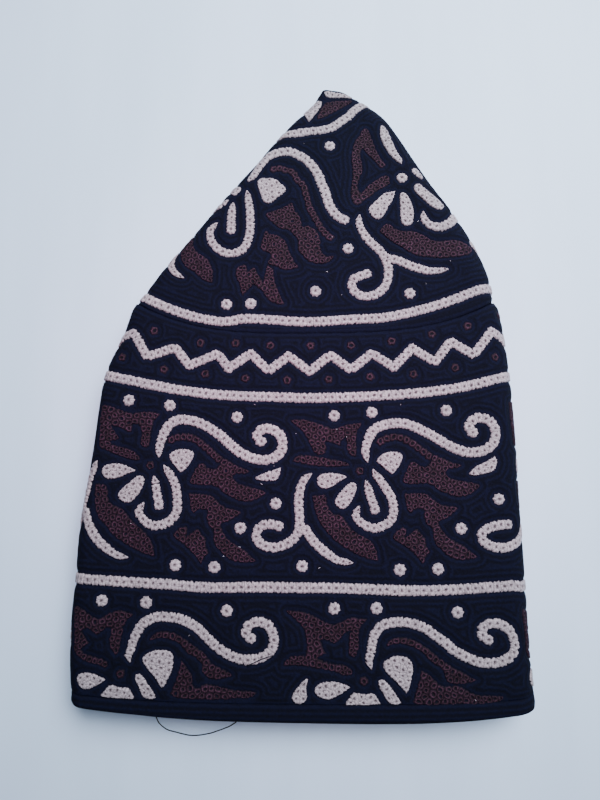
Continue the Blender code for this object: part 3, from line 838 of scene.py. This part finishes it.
# The maroon embroidery, worked in a thinner dark thread.
# Leaves and feathers are fields of small round eyelets, each a ring of thread whose
# crest catches a purple-grey light round a hole that shows nearly black.
MAROON_STEP = 2.0
MAROON_DOT = 2.7
MAROON_CORE = 2.6
MAROON_LINE = 2.3
MAROON_LEAST_GAP = 1.1
LEAVES_RIGHT = [
    [(70.2, 47), (71, 44), (71.8, 41.5), (73, 41.4), (74, 43), (76, 43.3), (77, 39.5), (79, 41), (81, 42.5),
     (83.5, 43.6), (82, 44.5), (80, 44.3), (79.5, 45.5), (80.5, 47.2), (83, 48.3), (85.5, 49), (87.3, 50.2),
     (86, 51.5), (84.5, 52.7), (82.5, 53), (80, 51.8), (78, 50.3), (76.5, 48.5), (75, 48), (72.5, 48.2),
     (70.5, 47.8)],
    [(70.5, 50.8), (73, 50.9), (75.5, 51), (77, 53.4), (79, 55), (80.5, 55.2), (82.3, 56), (81, 57.7),
     (79.5, 59), (78, 59.5), (78.3, 61.5), (79.5, 64), (81.5, 66), (83.3, 67.2), (84.5, 69), (86, 70.7),
     (84, 71.2), (81.5, 71), (80, 70), (78.5, 68), (76.7, 65.5), (76.8, 61.5), (75.3, 60.2), (74.8, 58),
     (75, 55.7), (73.2, 55.2), (72, 56.8), (71, 55), (71, 53)],
    [(68, 63.5), (69, 61.8), (70, 60.8), (71, 61), (71, 63.8), (73.2, 61.3), (74.2, 63), (75.2, 64.5),
     (75.2, 66.7), (76, 68.5), (75, 69.5), (74.5, 71.9), (73.5, 70), (72, 67.8), (70.5, 66), (68.7, 64.7)],
]
BAND_AREAS = [
    [(3.8, 51), (6, 50.6), (6.8, 52.5), (6.9, 55), (8, 56.3), (10, 56.7), (11.5, 58.5), (12.5, 60),
     (14, 61.5), (16, 63.5), (17.5, 66), (18, 68.5), (18.2, 70.3), (16.5, 69.8), (14, 68.5), (11, 66.5),
     (9, 65), (7.5, 62.5), (5.5, 60.5), (4.5, 57.5), (4, 54)],
    [(50.8, 51), (53.7, 50.8), (54, 54), (55, 56.3), (57.5, 57.2), (58.5, 59.7), (60.3, 62.3), (63.5, 64.3),
     (64.8, 67.5), (65.1, 70.6), (63, 70), (60, 68.2), (57, 65.7), (54.8, 63), (53, 59.8), (51.8, 57),
     (51.2, 54)],
    [(15.9, 27.5), (14, 27.1), (10.5, 28), (9.5, 28.9), (5, 28), (2.4, 28.2), (2.4, 32), (3, 38),
     (3.2, 40.3), (5.5, 40.8), (9, 41.8), (12, 42.3), (12.6, 41.5), (11.5, 40), (9.5, 39), (6, 38.8),
     (5.4, 38), (7.4, 36.7), (6.5, 35.2), (5.2, 33.5), (6.5, 33), (9, 34.2), (9.8, 34.3), (10, 31.5),
     (11.7, 31.5), (12.3, 34), (12, 37), (13, 38), (14, 38), (14.2, 35), (14.3, 31), (15, 29)],
    [(45.1, 27.7), (48, 27.3), (50, 28.3), (52.5, 29.3), (54, 30.3), (55, 30.8), (57, 29.6), (59, 29),
     (61.3, 28.9), (60.5, 30.8), (60, 32), (59.9, 35), (60.2, 38), (59.7, 39.4), (58.5, 38.6), (57.8, 37),
     (58, 34.5), (57.5, 33.2), (56.5, 34.5), (56.3, 35.9), (54.5, 34.7), (53, 34.5), (53.5, 37),
     (52.8, 38.7), (50.8, 38.4), (50.2, 36.5), (49, 33.5), (48, 31), (46.5, 29.7)],
    [(45.8, 40.5), (47, 38.5), (50, 38.8), (55, 40), (58, 41), (58.7, 42), (55, 42.3), (52, 42.2),
     (49, 41.5)],
    [(2.2, 87.1), (3.6, 87.1), (5.2, 88.5), (6.5, 89.6), (7.9, 89.9), (8.7, 88.8), (9.9, 87.7),
     (11.7, 86.6), (13.1, 87.1), (14.9, 87.5), (13.9, 88.5), (13.1, 89.9), (12.7, 92.7), (12.3, 95.4),
     (12.1, 98.2), (11.5, 99.6), (10.3, 98.2), (10, 96), (10.3, 93.8), (10.3, 91.6), (8.9, 92.4),
     (8.3, 93.8), (7.3, 94.6), (6.2, 93.2), (5.2, 92.7), (4.2, 93.8), (5, 95.4), (5.8, 97.1), (4.2, 98.8),
     (4.6, 99.9), (6, 100.4), (7.5, 100.7), (9.1, 101), (9.9, 102.1), (9.3, 103.5), (7.9, 102.7),
     (6.3, 102.4), (5, 102.1), (3.6, 101), (2.6, 99.6), (2.8, 95.4), (2.6, 92.7), (2.2, 89.9)],
    [(45.8, 85), (47.8, 85), (50.6, 85.7), (52.4, 87.1), (54, 88.2), (55.5, 89.1), (56.7, 88.5),
     (57.9, 87.7), (59.4, 86.6), (60.9, 87.1), (62.7, 87.3), (61.7, 88.5), (60.9, 90.4), (60.8, 93.2),
     (60.8, 96), (59.9, 98.2), (58.7, 97.7), (58.7, 95.4), (58.8, 93.2), (59.1, 90.4), (57.5, 91.6),
     (56.7, 93.8), (55.7, 94.3), (54.5, 93.2), (53, 93.2), (53.4, 95.4), (54, 97.1), (52.4, 98.2),
     (53, 99.1), (54.3, 99.6), (55.9, 100.2), (57.5, 100.2), (59.1, 101.3), (59.3, 102.7), (57.9, 103.5),
     (56.3, 102.4), (54.3, 101.8), (52, 101.3), (50, 100.7), (48, 100.4), (45.2, 100.7), (45.8, 99.3),
     (47, 97.9), (48.8, 97.7), (50, 97.9), (50.2, 96), (50.2, 93.2), (49.8, 90.4), (48.4, 88.2),
     (47.2, 86.8)],
    [(17.9, 95.2), (19, 92.7), (20.6, 91.8), (22.4, 91.8), (24.4, 92.7), (27, 95.4), (29, 97.1), (30, 98.5),
     (30.9, 100.7), (32.7, 101.6), (34.3, 102.7), (35.1, 103.8), (33.9, 104.1), (31.9, 104.9), (30, 104.6),
     (28.8, 102.7), (29, 100.4), (27.6, 98.8), (26, 97.9), (25.2, 96.3), (24, 94.8), (21.8, 93.8),
     (20.2, 93.8), (19, 94.3)],
    [(24.8, 99.6), (26, 102.4), (27, 104.1), (26.6, 106.6), (28, 107.7), (29.2, 106), (31.9, 106.6),
     (33.9, 107.4), (35.9, 107.8), (37.9, 107.8), (39.7, 108.2), (38.7, 109.6), (36.7, 109.9),
     (34.7, 109.9), (31.9, 110.4), (28, 110.4), (24, 110.4), (22.4, 109.6), (22.2, 108.8), (23.4, 106),
     (24, 103.2)],
    [(66.1, 95.2), (67, 93.2), (68.8, 92.4), (70.8, 92.7), (72.8, 93.8), (75, 96), (77, 98.5),
     (78.6, 100.2), (80, 101.8), (81.9, 102.9), (83.1, 104.6), (84.7, 105), (82.7, 105.9), (81.1, 106),
     (79, 106), (77.8, 104.6), (78, 102.7), (77, 101), (75.6, 99.9), (74.6, 98.5), (73.6, 96.6),
     (71.8, 95.2), (69.8, 94.3), (67.8, 94.3)],
    [(73.2, 102.1), (74.6, 102.7), (75.8, 104.9), (77.4, 106.8), (79, 106.4), (80.7, 106.5), (81.9, 107.9),
     (83.9, 109.3), (85.9, 109.6), (87.9, 109.8), (89.3, 110.2), (88.3, 111.6), (85.9, 111.8), (81.9, 111.6),
     (78, 111.6), (74, 111.5), (71.4, 111.4), (71, 110.4), (71.8, 107.9), (72.6, 105.2)],
]
BAND_ARC = [(64.8, 35.3), (66.5, 34), (69, 33.7), (71, 34.6), (73, 36.5), (75, 38.8), (76.6, 40.6)]
# The leaves and the arc stand twice on the folded face, this far apart.
LEAF_STEP = 46.4
RING_DOTS = [(8.6, 4.6), (20.2, 4.7), (28.7, 3.5), (37.4, 3.8), (47.5, 4), (57.5, 4.1), (67.6, 3.5),
             (77.8, 3), (86.7, 3.4), (4, 14.2), (14.1, 14.3), (23.7, 13.8), (33.4, 14.5), (43.3, 15),
             (53.1, 15), (62.8, 14.5), (73, 14.7), (82.9, 14.7), (92.6, 15), (96.8, 4)]
RING_DOTS += [(shift + 100, down) for shift, down in RING_DOTS if shift > 0]
CORE_DOTS = [(14.9, 43.2), (60.8, 43.7), (12.3, 104.6), (61.5, 104.8)]
CROWN_AREAS = [
    [(19.8, 50.1), (22.2, 48.4), (24.3, 47.5), (26.3, 46.2), (27.6, 44.9), (28.9, 46.2), (30.6, 47.9),
     (32.5, 48.7), (34.2, 50.7), (35.3, 52.9), (36.8, 52.2), (38.9, 52.7), (42, 54.5), (43.5, 57.8),
     (44.3, 61.1), (46.1, 62.6), (48.3, 62.8), (49.4, 61.9), (48.1, 64.8), (45.2, 65.2), (42.6, 65),
     (40.3, 63.9), (38, 61.8), (36.2, 60.5), (35.4, 57), (32.8, 55.3), (30.6, 53.8), (27.6, 54),
     (24.7, 52.7), (21.7, 51.5)],
    [(22.5, 54.3), (24.1, 56.2), (26.6, 55.9), (28.8, 56.6), (31, 57.9), (32.2, 59.2), (33.4, 61),
     (35.6, 63.2), (37.1, 65.3), (38.6, 66.1), (37.3, 67), (34, 67.5), (31.4, 66), (29.9, 66.2),
     (28.1, 65.3), (28.6, 63.1), (27.2, 61.8), (25, 61.8), (23.4, 60.5), (23, 57.9)],
    [(19.5, 67.9), (21.9, 66.6), (23.5, 68.8), (24.8, 67.1), (26, 68.2), (27.6, 70.1), (29.4, 71.9),
     (28.9, 68.8), (28.5, 66.2), (30.7, 66.9), (31.5, 68.8), (32.7, 71.4), (33.4, 72.7), (35.4, 76),
     (37.5, 79.2), (34.2, 78.8), (31.7, 77), (30.2, 74.8), (28.8, 74.1), (26.9, 72.6), (26.2, 74.1),
     (25.1, 77), (24, 75.7), (22.9, 73.2), (21, 71.4)],
    [(0.5, 63.4), (2.7, 63.8), (4.4, 65.9), (7.1, 67.6), (10, 67.6), (11.8, 68.8), (14.1, 71), (14.8, 73.2),
     (15.7, 74.9), (13.8, 75.2), (12, 74.5), (9.4, 73.4), (7.2, 73.2), (5, 71.9), (3.1, 69.7), (1.1, 66.8)],
    [(55.8, 19.9), (58.9, 19), (61.2, 16.9), (63.6, 15.9), (67.1, 15.9), (67.9, 18.1), (68.5, 21.1),
     (69.3, 24.2), (71.3, 27.7), (73.2, 29.9), (69.9, 31.2), (67.5, 28.5), (65.1, 26.8), (62.8, 25.6),
     (60.3, 23.3), (58, 25.2), (58.6, 27.8), (59.3, 32.1), (57.8, 33.9), (55.8, 37.4), (56.8, 40),
     (58.6, 40), (60.8, 37.8), (63.3, 36.4), (66.6, 35.1), (70, 33.8), (73.4, 34.2), (73.2, 36.8),
     (69.4, 38.2), (65, 39.5), (62.9, 41.2), (60, 42.2), (57.2, 44.4), (55, 44.8), (53.2, 42.6),
     (52.8, 38.3), (53.4, 35.6), (53.5, 31.3), (52.5, 27.8), (52.8, 24.3)],
    [(64.7, 54.3), (65.8, 52.6), (68.3, 51.3), (71, 54.3), (73.9, 55.2), (77.3, 55.6), (80.2, 57.8),
     (82.1, 60.4), (84.3, 61.7), (86.4, 62.2), (89, 63), (91.6, 64.8), (94.2, 67.8), (93.1, 70),
     (89.5, 69.6), (85.8, 68.3), (83.2, 67.4), (80.3, 66.1), (77.7, 65.2), (74.7, 63.5), (71.8, 60.4),
     (69.2, 58.7), (67, 56.5)],
    [(18.9, 13), (17.9, 10.9), (19.7, 7.3), (22.7, 5.2), (31.9, 4.2), (55.9, 4), (69, 4.4), (59.1, 5.8),
     (45.5, 7.4), (34.6, 9.2), (26.6, 11.4), (22, 13)],
]
CROWN_ARC = [(11.1, 36.4), (13.4, 35.5), (15.2, 34.9), (18.1, 35), (21, 34.9), (22.6, 35.5), (25, 37),
             (27.7, 38), (29.8, 39.2), (31.4, 41), (33.5, 43.2), (35.4, 45.7), (37.9, 48.1), (40.3, 50.5),
             (42.2, 52.7), (44.1, 54.4), (45.9, 55.8), (47.5, 56.5)]

band_maroon = []
for corners in BAND_AREAS + LEAVES_RIGHT:
    band_maroon += worked_field(band, corners, MAROON_STEP)
for corners in LEAVES_RIGHT:
    band_maroon += worked_field(band, np.array(corners) - (LEAF_STEP, 0.0), MAROON_STEP)
band_maroon += worked_line(band, BAND_ARC, MAROON_LINE, step=MAROON_STEP)
band_maroon += worked_line(band, np.array(BAND_ARC) - (LEAF_STEP, 0.0), MAROON_LINE, step=MAROON_STEP)
band_maroon = repeated(band_maroon + worked_dots(CORE_DOTS, MAROON_CORE), BAND_REPEAT)
band_maroon += worked_dots([dot for dot in RING_DOTS if dot[0] < UNDER_END], MAROON_DOT)
band_maroon = spaced(band, band_maroon, MAROON_LEAST_GAP)
crown_maroon = []
for corners in CROWN_AREAS:
    crown_maroon += worked_field(crown, corners, MAROON_STEP)
crown_maroon += worked_line(crown, CROWN_ARC, MAROON_LINE, step=MAROON_STEP)
crown_maroon = spaced(crown, repeated(crown_maroon, CROWN_REPEAT), MAROON_LEAST_GAP)

# Dark maroon cotton: the ring of thread is wine-red with a painted purple-grey highlight on its
# crest, darker towards its edge, and the hole is nearly black: the dark cloth below with painted shade on it.
# About 18 threads to an eyelet.
maroon_cotton, tree, shader = new_material("maroon_cotton_stitches")
out_share, fibre, lit, own_tone = stitch_nodes(tree, 18.0, 0.35, 1.45)
# Painted highlight on the crest at 0.62, painted shade in the hole and towards the edge.
radial = colour_ramp(tree, out_share, [(0.0, "07030D"), (0.38, "0A0510"), (0.50, "1A0D18"), (0.62, "3C2433"),
                                       (0.74, "20101D"), (1.0, "0F0711")])
single = add_node(tree, "ShaderNodeMapRange", {"To Min": 0.75, "To Max": 1.15}, {"Value": own_tone})
shade = add_node(tree, "ShaderNodeMath", {"operation": "MULTIPLY"}, {0: lit, 1: single.outputs["Result"]})
tint = add_node(tree, "ShaderNodeVectorMath", {"operation": "SCALE"},
                {0: radial, "Scale": shade.outputs["Value"]})
tree.links.new(tint.outputs["Vector"], shader.inputs["Base Color"])
raised = add_node(tree, "ShaderNodeBump", {"Strength": 0.9, "Distance": 0.00015}, {"Height": fibre})
tree.links.new(raised.outputs["Normal"], shader.inputs["Normal"])
shader.inputs["Roughness"].default_value = 0.75
shader.inputs["Specular IOR Level"].default_value = 0.12

maroon_pattern = eyelet_pattern(16, 3)
MAROON_PROFILE = {
    "hole": 0.40,
    "teeth": 0.12,
    "floor": -0.00020,
    "rings": [(0.0, 0.0), (0.5, 0.00026), (1.0, 0.0)],
    "edge": -0.00012,
    "meet": 0.00008,
}
for name, part, cells, slot, seed in (("band", band, band_maroon, "band_cloth", 7),
                                      ("crown", crown, crown_maroon, "crown_cloth", 9)):
    for side, low, high in (("top", -SLOT_REACH, 100.0), ("under", 100.0, UNDER_END)):
        shown = [cell for cell in cells if low < cell[0] <= high]
        mesh, edge = eyelet_mesh(f"{name}_maroon_eyelets_{side}", part, shown, maroon_pattern,
                                 MAROON_PROFILE, seed)
        piece = add_object(mesh.name, mesh, maroon_cotton)
        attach(piece, "root")
        edges[name].append(edge)

# The navy ground of the crown, the band and the hem strip.
# Two layers of cotton with a thin filling, quilted in close rows that echo the
# embroidery 1.55 mm apart. It is drawn in along every worked edge and puffs up between.
GRID = 0.8
UNDER_GRID = 1.3
RIB_STEP = 1.55
PUFF = 0.00030
DRAWN_IN = 0.00026
INSIDE_ROWS = 16
SEAM_SHUT = 0.17
BAND_FOOT = 112.0
HEM_PROUD = 0.00010


def ground(name, part, sources, crown_end=None):
    """A closed shell of quilted cloth, which carries the distance to the nearest worked edge."""
    tree = KDTree(len(sources))
    for place, point in enumerate(sources):
        tree.insert(point, place)
    tree.balance()
    width = float(np.ptp(wrap(part, np.array([0.0, 100.0]), part["length"] * np.ones(2))[:, 0]) * 1000) + 7
    top = np.linspace(0, 1, int(width / GRID) + 1)
    under = np.linspace(1, 2, int(width / UNDER_GRID) + 1)
    slot = np.concatenate([np.linspace(0, 9, 10) / width, np.linspace(9, width, 18)[1:] / width])
    turns = np.concatenate([top, under[1:], 2 + slot[1:], 4 - slot[::-1][1:]])
    beyond = np.linspace(-1, 0, 6)[:-1] if crown_end else np.array([])
    head = 0.0 if crown_end else -SEAM_SHUT
    foot = part["length"] + (0.0 if part is hem else 3 * SEAM_SHUT)
    outer_rows = np.concatenate([beyond, np.linspace(head, foot, max(6, int((foot - head) / GRID)) + 1)])
    inner_rows = np.linspace(crown["down"][3 + 4 * 60] if crown_end else head, foot, INSIDE_ROWS)
    bm = bmesh.new()
    echo = bm.verts.layers.float.new("echo")
    end = bm.verts.layers.int.new("end")
    for rows, depth in ((outer_rows, 0.0), (inner_rows, -CLOTH)):
        made = bmesh.ops.create_grid(bm, x_segments=len(turns) - 1, y_segments=len(rows) - 1,
                                     size=0.5)["verts"]
        place = np.array([vert.co[:2] for vert in made]) + 0.5
        column = np.rint(place[:, 0] * (len(turns) - 1)).astype(int)
        line = np.rint(place[:, 1] * (len(rows) - 1)).astype(int)
        turn, down = turns[column], rows[line]
        on_rows = np.maximum(down, 0) if crown_end else down
        points = wrap(part, turn * 100, on_rows, depth)
        gap = np.array([tree.find(point)[2] for point in points]) * 1000
        if depth == 0.0:
            puff = np.clip(gap / 2.2, 0, 1)
            open_face = np.clip(np.maximum(2.05 - turn, turn - 3.95) / 0.04, 0, 1)
            proud = HEM_PROUD if part is hem else -DRAWN_IN * (1 - np.clip(gap / 0.9, 0, 1))
            lift = PUFF * (3 * puff**2 - 2 * puff**3) * open_face + proud
            points = wrap(part, turn * 100, on_rows, lift)
        if crown_end:
            tip = np.array(crown_end)
            tuck = np.clip(-down, 0, 1)[:, None]
            narrow = (1 - tuck) ** 0.75
            points = np.where(down[:, None] < 0, np.concatenate([
                tip[0] + (points[:, :1] - tip[0]) * narrow,
                points[:, 1:2] + (tip[1] - points[:, 1:2]) * tuck,
                tip[2] + (points[:, 2:] - tip[2]) * narrow], 1), points)
        for vert, point, near, row in zip(made, points, gap, line):
            vert.co = point
            vert[echo] = near
            vert[end] = 1 if row == 0 else 2 if row == len(rows) - 1 else 0
        bmesh.ops.remove_doubles(bm, verts=made, dist=1e-7)
    head_rims, foot_rims = ([edge for edge in bm.edges if edge.is_boundary
                             and edge.verts[0][end] == edge.verts[1][end] == mark] for mark in (1, 2))
    bmesh.ops.bridge_loops(bm, edges=foot_rims)
    if crown_end:
        bmesh.ops.holes_fill(bm, edges=head_rims, sides=0)
    else:
        bmesh.ops.bridge_loops(bm, edges=head_rims)
    bm.verts.layers.int.remove(end)
    bmesh.ops.recalc_face_normals(bm, faces=bm.faces)
    mesh = bpy.data.meshes.new(name)
    bm.to_mesh(mesh)
    bm.free()
    mesh.shade_smooth()
    return mesh


# Navy cotton poplin over a soft filling: painted shade makes it nearly black in the stitched valleys
# and bluer on the ribs, with needle holes along each row and a few specks of pale lint.
navy_cotton, tree, shader = new_material("navy_quilted_cotton")
near = add_node(tree, "ShaderNodeAttribute", {"attribute_name": "echo"})
place = add_node(tree, "ShaderNodeTexCoord")
weave = add_node(tree, "ShaderNodeTexNoise", {"Scale": 1500.0, "Detail": 3.0},
                 {"Vector": place.outputs["Object"]})
wander = add_node(tree, "ShaderNodeTexNoise", {"Scale": 220.0, "Detail": 2.0},
                  {"Vector": place.outputs["Object"]})
row_turn = add_node(tree, "ShaderNodeMath", {"operation": "MULTIPLY_ADD", 1: 2 * math.pi / RIB_STEP},
                    {0: near.outputs["Fac"], 2: wander.outputs["Fac"]})
wave = add_node(tree, "ShaderNodeMath", {"operation": "COSINE"}, {0: row_turn.outputs["Value"]})
rib = add_node(tree, "ShaderNodeMapRange", {"From Min": 1.0, "From Max": -1.0},
               {"Value": wave.outputs["Value"]})
weave_and_ribs = add_node(tree, "ShaderNodeMath", {"operation": "MULTIPLY_ADD", 1: 2.2},
                  {0: weave.outputs["Fac"], 2: rib.outputs["Result"]})
tone = add_node(tree, "ShaderNodeMapRange", {"From Min": 0.5, "From Max": 2.7},
                {"Value": weave_and_ribs.outputs["Value"]})
# Painted shade: the ramp darkens the stitched valleys and lightens the rib crests, over the weave's own
# grain.
tone = colour_ramp(tree, tone.outputs["Result"], [(0.0, "07080E"), (0.5, "090B18"), (1.0, "0D1024")])
tree.links.new(tone, shader.inputs["Base Color"])
raised = add_node(tree, "ShaderNodeBump", {"Strength": 0.5, "Distance": 0.00014},
                  {"Height": weave_and_ribs.outputs["Value"]})
tree.links.new(raised.outputs["Normal"], shader.inputs["Normal"])
shader.inputs["Roughness"].default_value = 0.9
shader.inputs["Specular IOR Level"].default_value = 0.05

across = np.linspace(0, 200, 400)
band_sources = np.vstack(edges["band"] + [wrap(band, across, 0.0), wrap(band, across, BAND_FOOT)])
crown_sources = np.vstack(edges["crown"] + [wrap(crown, across, crown["length"])])
hem_sources = wrap(hem, across, 0.0)
tip_ring = wrap(crown, np.linspace(0, 400, 80), 0.0)
crown_tip = (TIP[0], TIP[1], float(tip_ring[:, 2].mean()))

for name, part, sources, node, slot, tip in (
        ("crown_ground", crown, crown_sources, "crown", "crown_cloth", crown_tip),
        ("band_ground", band, band_sources, "side_band", "band_cloth", None),
        ("hem_strip", hem, hem_sources, "hem_binding", "hem_cloth", None)):
    piece = add_object(name, ground(name, part, sources, tip), navy_cotton)
    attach(piece, "root")
    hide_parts(node)

# The loose threads and the lint.
# A dark sewing thread has come out of the hem and lies on the table in a bow, both of
# its ends still under the cloth. A shorter one lies over the left scroll of the lower row.
THREAD_WIDE = 0.00035
BOW = [(-0.0460, -0.1005), (-0.0463, -0.1040), (-0.0463, -0.1067), (-0.0461, -0.1079), (-0.0449, -0.1098),
       (-0.0424, -0.1115), (-0.0389, -0.1124), (-0.0363, -0.1130), (-0.0337, -0.1132), (-0.0297, -0.1127),
       (-0.0272, -0.1120), (-0.0248, -0.1112), (-0.0228, -0.1104), (-0.0210, -0.1093), (-0.0195, -0.1079),
       (-0.0190, -0.1062), (-0.0188, -0.1040), (-0.0188, -0.1005)]
STRAY = [(38.2, 100.6), (39.2, 99.9), (40.6, 99.0), (42.0, 98.2), (43.4, 97.7)]
STRAY_LIFT = 0.00074
STRAY_RADIUS = 0.00014
SPECKS = [(36.9, 22.8), (42, 42), (39.6, 47.5), (12.7, 61), (55.5, 30.7), (57.8, 33.2), (70, 23.8),
          (36, 66.5), (32.7, 69.3), (52.7, 72.5), (46.5, 32), (26.3, 92.6), (83.5, 110.5), (148, 33),
          (171, 62), (132, 97)]
CROWN_SPECKS = [(47.8, 68.1), (52.9, 75.9), (47.3, 56.3), (20.1, 24.3), (85.6, 69.6), (77.3, 74.4),
                (79.5, 52.6), (122, 60), (161, 44)]
LINT_LIFT = 0.00046
LINT_RADIUS = 0.00006

dark_thread, tree, shader = new_material("dark_sewing_thread")
place = add_node(tree, "ShaderNodeTexCoord")
twist = add_node(tree, "ShaderNodeTexWave", {"Scale": 900.0, "Distortion": 1.5},
                 {"Vector": place.outputs["Object"]})
tree.links.new(colour_ramp(tree, twist.outputs["Fac"], [(0.0, "07080F"), (1.0, "161924")]),
               shader.inputs["Base Color"])
shader.inputs["Roughness"].default_value = 0.8
shader.inputs["Specular IOR Level"].default_value = 0.15

line = bpy.data.curves.new("hem_thread", "CURVE")
line.dimensions = "3D"
line.bevel_depth = THREAD_WIDE / 2
line.bevel_resolution = 2
line.use_fill_caps = True
route = smooth_path(BOW, 6)
spline = line.splines.new("POLY")
spline.points.add(len(route) - 1)
for place_on, (x, y) in enumerate(route):
    ripple = 0.00004 * math.sin(place_on * 0.9)
    spline.points[place_on].co = (x, y, THREAD_WIDE / 2 + 0.00006 + ripple, 1.0)
hem_thread = bpy.data.objects.new("hem_thread", line)
bpy.context.scene.collection.objects.link(hem_thread)
line.materials.append(dark_thread)
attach(hem_thread, "root")


def tube(bm, points, radius, sides=6):
    """A thin round tube along points, closed at both ends."""
    rings = []
    for place, point in enumerate(points):
        ahead = points[min(place + 1, len(points) - 1)] - points[max(place - 1, 0)]
        side = ahead.cross(Vector((0, 0, 1))).normalized()
        over = side.cross(ahead).normalized()
        rings.append([bm.verts.new(point + radius * (math.cos(2 * math.pi * turn / sides) * side
                                                     + math.sin(2 * math.pi * turn / sides) * over))
                      for turn in range(sides)])
    for ring, following in zip(rings, rings[1:]):
        for turn in range(sides):
            beside = (turn + 1) % sides
            bm.faces.new((ring[turn], ring[beside], following[beside], following[turn]))
    bm.faces.new(rings[0][::-1])
    bm.faces.new(rings[-1])


bm = bmesh.new()
stray_path = smooth_path(STRAY, 6)
stray_points = wrap(band, stray_path[:, 0], stray_path[:, 1], STRAY_LIFT)
tube(bm, [Vector(point) for point in stray_points], STRAY_RADIUS)
bmesh.ops.recalc_face_normals(bm, faces=bm.faces)
stray_mesh = bpy.data.meshes.new("stray_thread")
bm.to_mesh(stray_mesh)
bm.free()
stray_mesh.shade_smooth()
stray_thread = add_object("stray_thread", stray_mesh, dark_thread)
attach(stray_thread, "root")

# Lint: short bits of pale fibre caught in the stitches.
lint, tree, shader = new_material("pale_lint")
place = add_node(tree, "ShaderNodeTexCoord")
cloud = add_node(tree, "ShaderNodeTexNoise", {"Scale": 700.0}, {"Vector": place.outputs["Object"]})
tree.links.new(colour_ramp(tree, cloud.outputs["Fac"], [(0.3, "8F8C96"), (0.7, "C9C6CF")]),
               shader.inputs["Base Color"])
shader.inputs["Roughness"].default_value = 0.9
bm = bmesh.new()
draw = np.random.default_rng(11)
for part, spots in ((band, SPECKS), (crown, CROWN_SPECKS)):
    for across_at, down_at in spots:
        turn, long = draw.uniform(0, math.pi), draw.uniform(0.10, 0.28)
        ends = [(across_at + sign * long * math.cos(turn), down_at + sign * long * math.sin(turn))
                for sign in (-1, 0, 1)]
        tube(bm, [Vector(wrap(part, at, down, LINT_LIFT)) for at, down in ends], LINT_RADIUS, 5)
bmesh.ops.recalc_face_normals(bm, faces=bm.faces)
lint_mesh = bpy.data.meshes.new("lint_specks")
bm.to_mesh(lint_mesh)
bm.free()
lint_specks = add_object("lint_specks", lint_mesh, lint)
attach(lint_specks, "root")
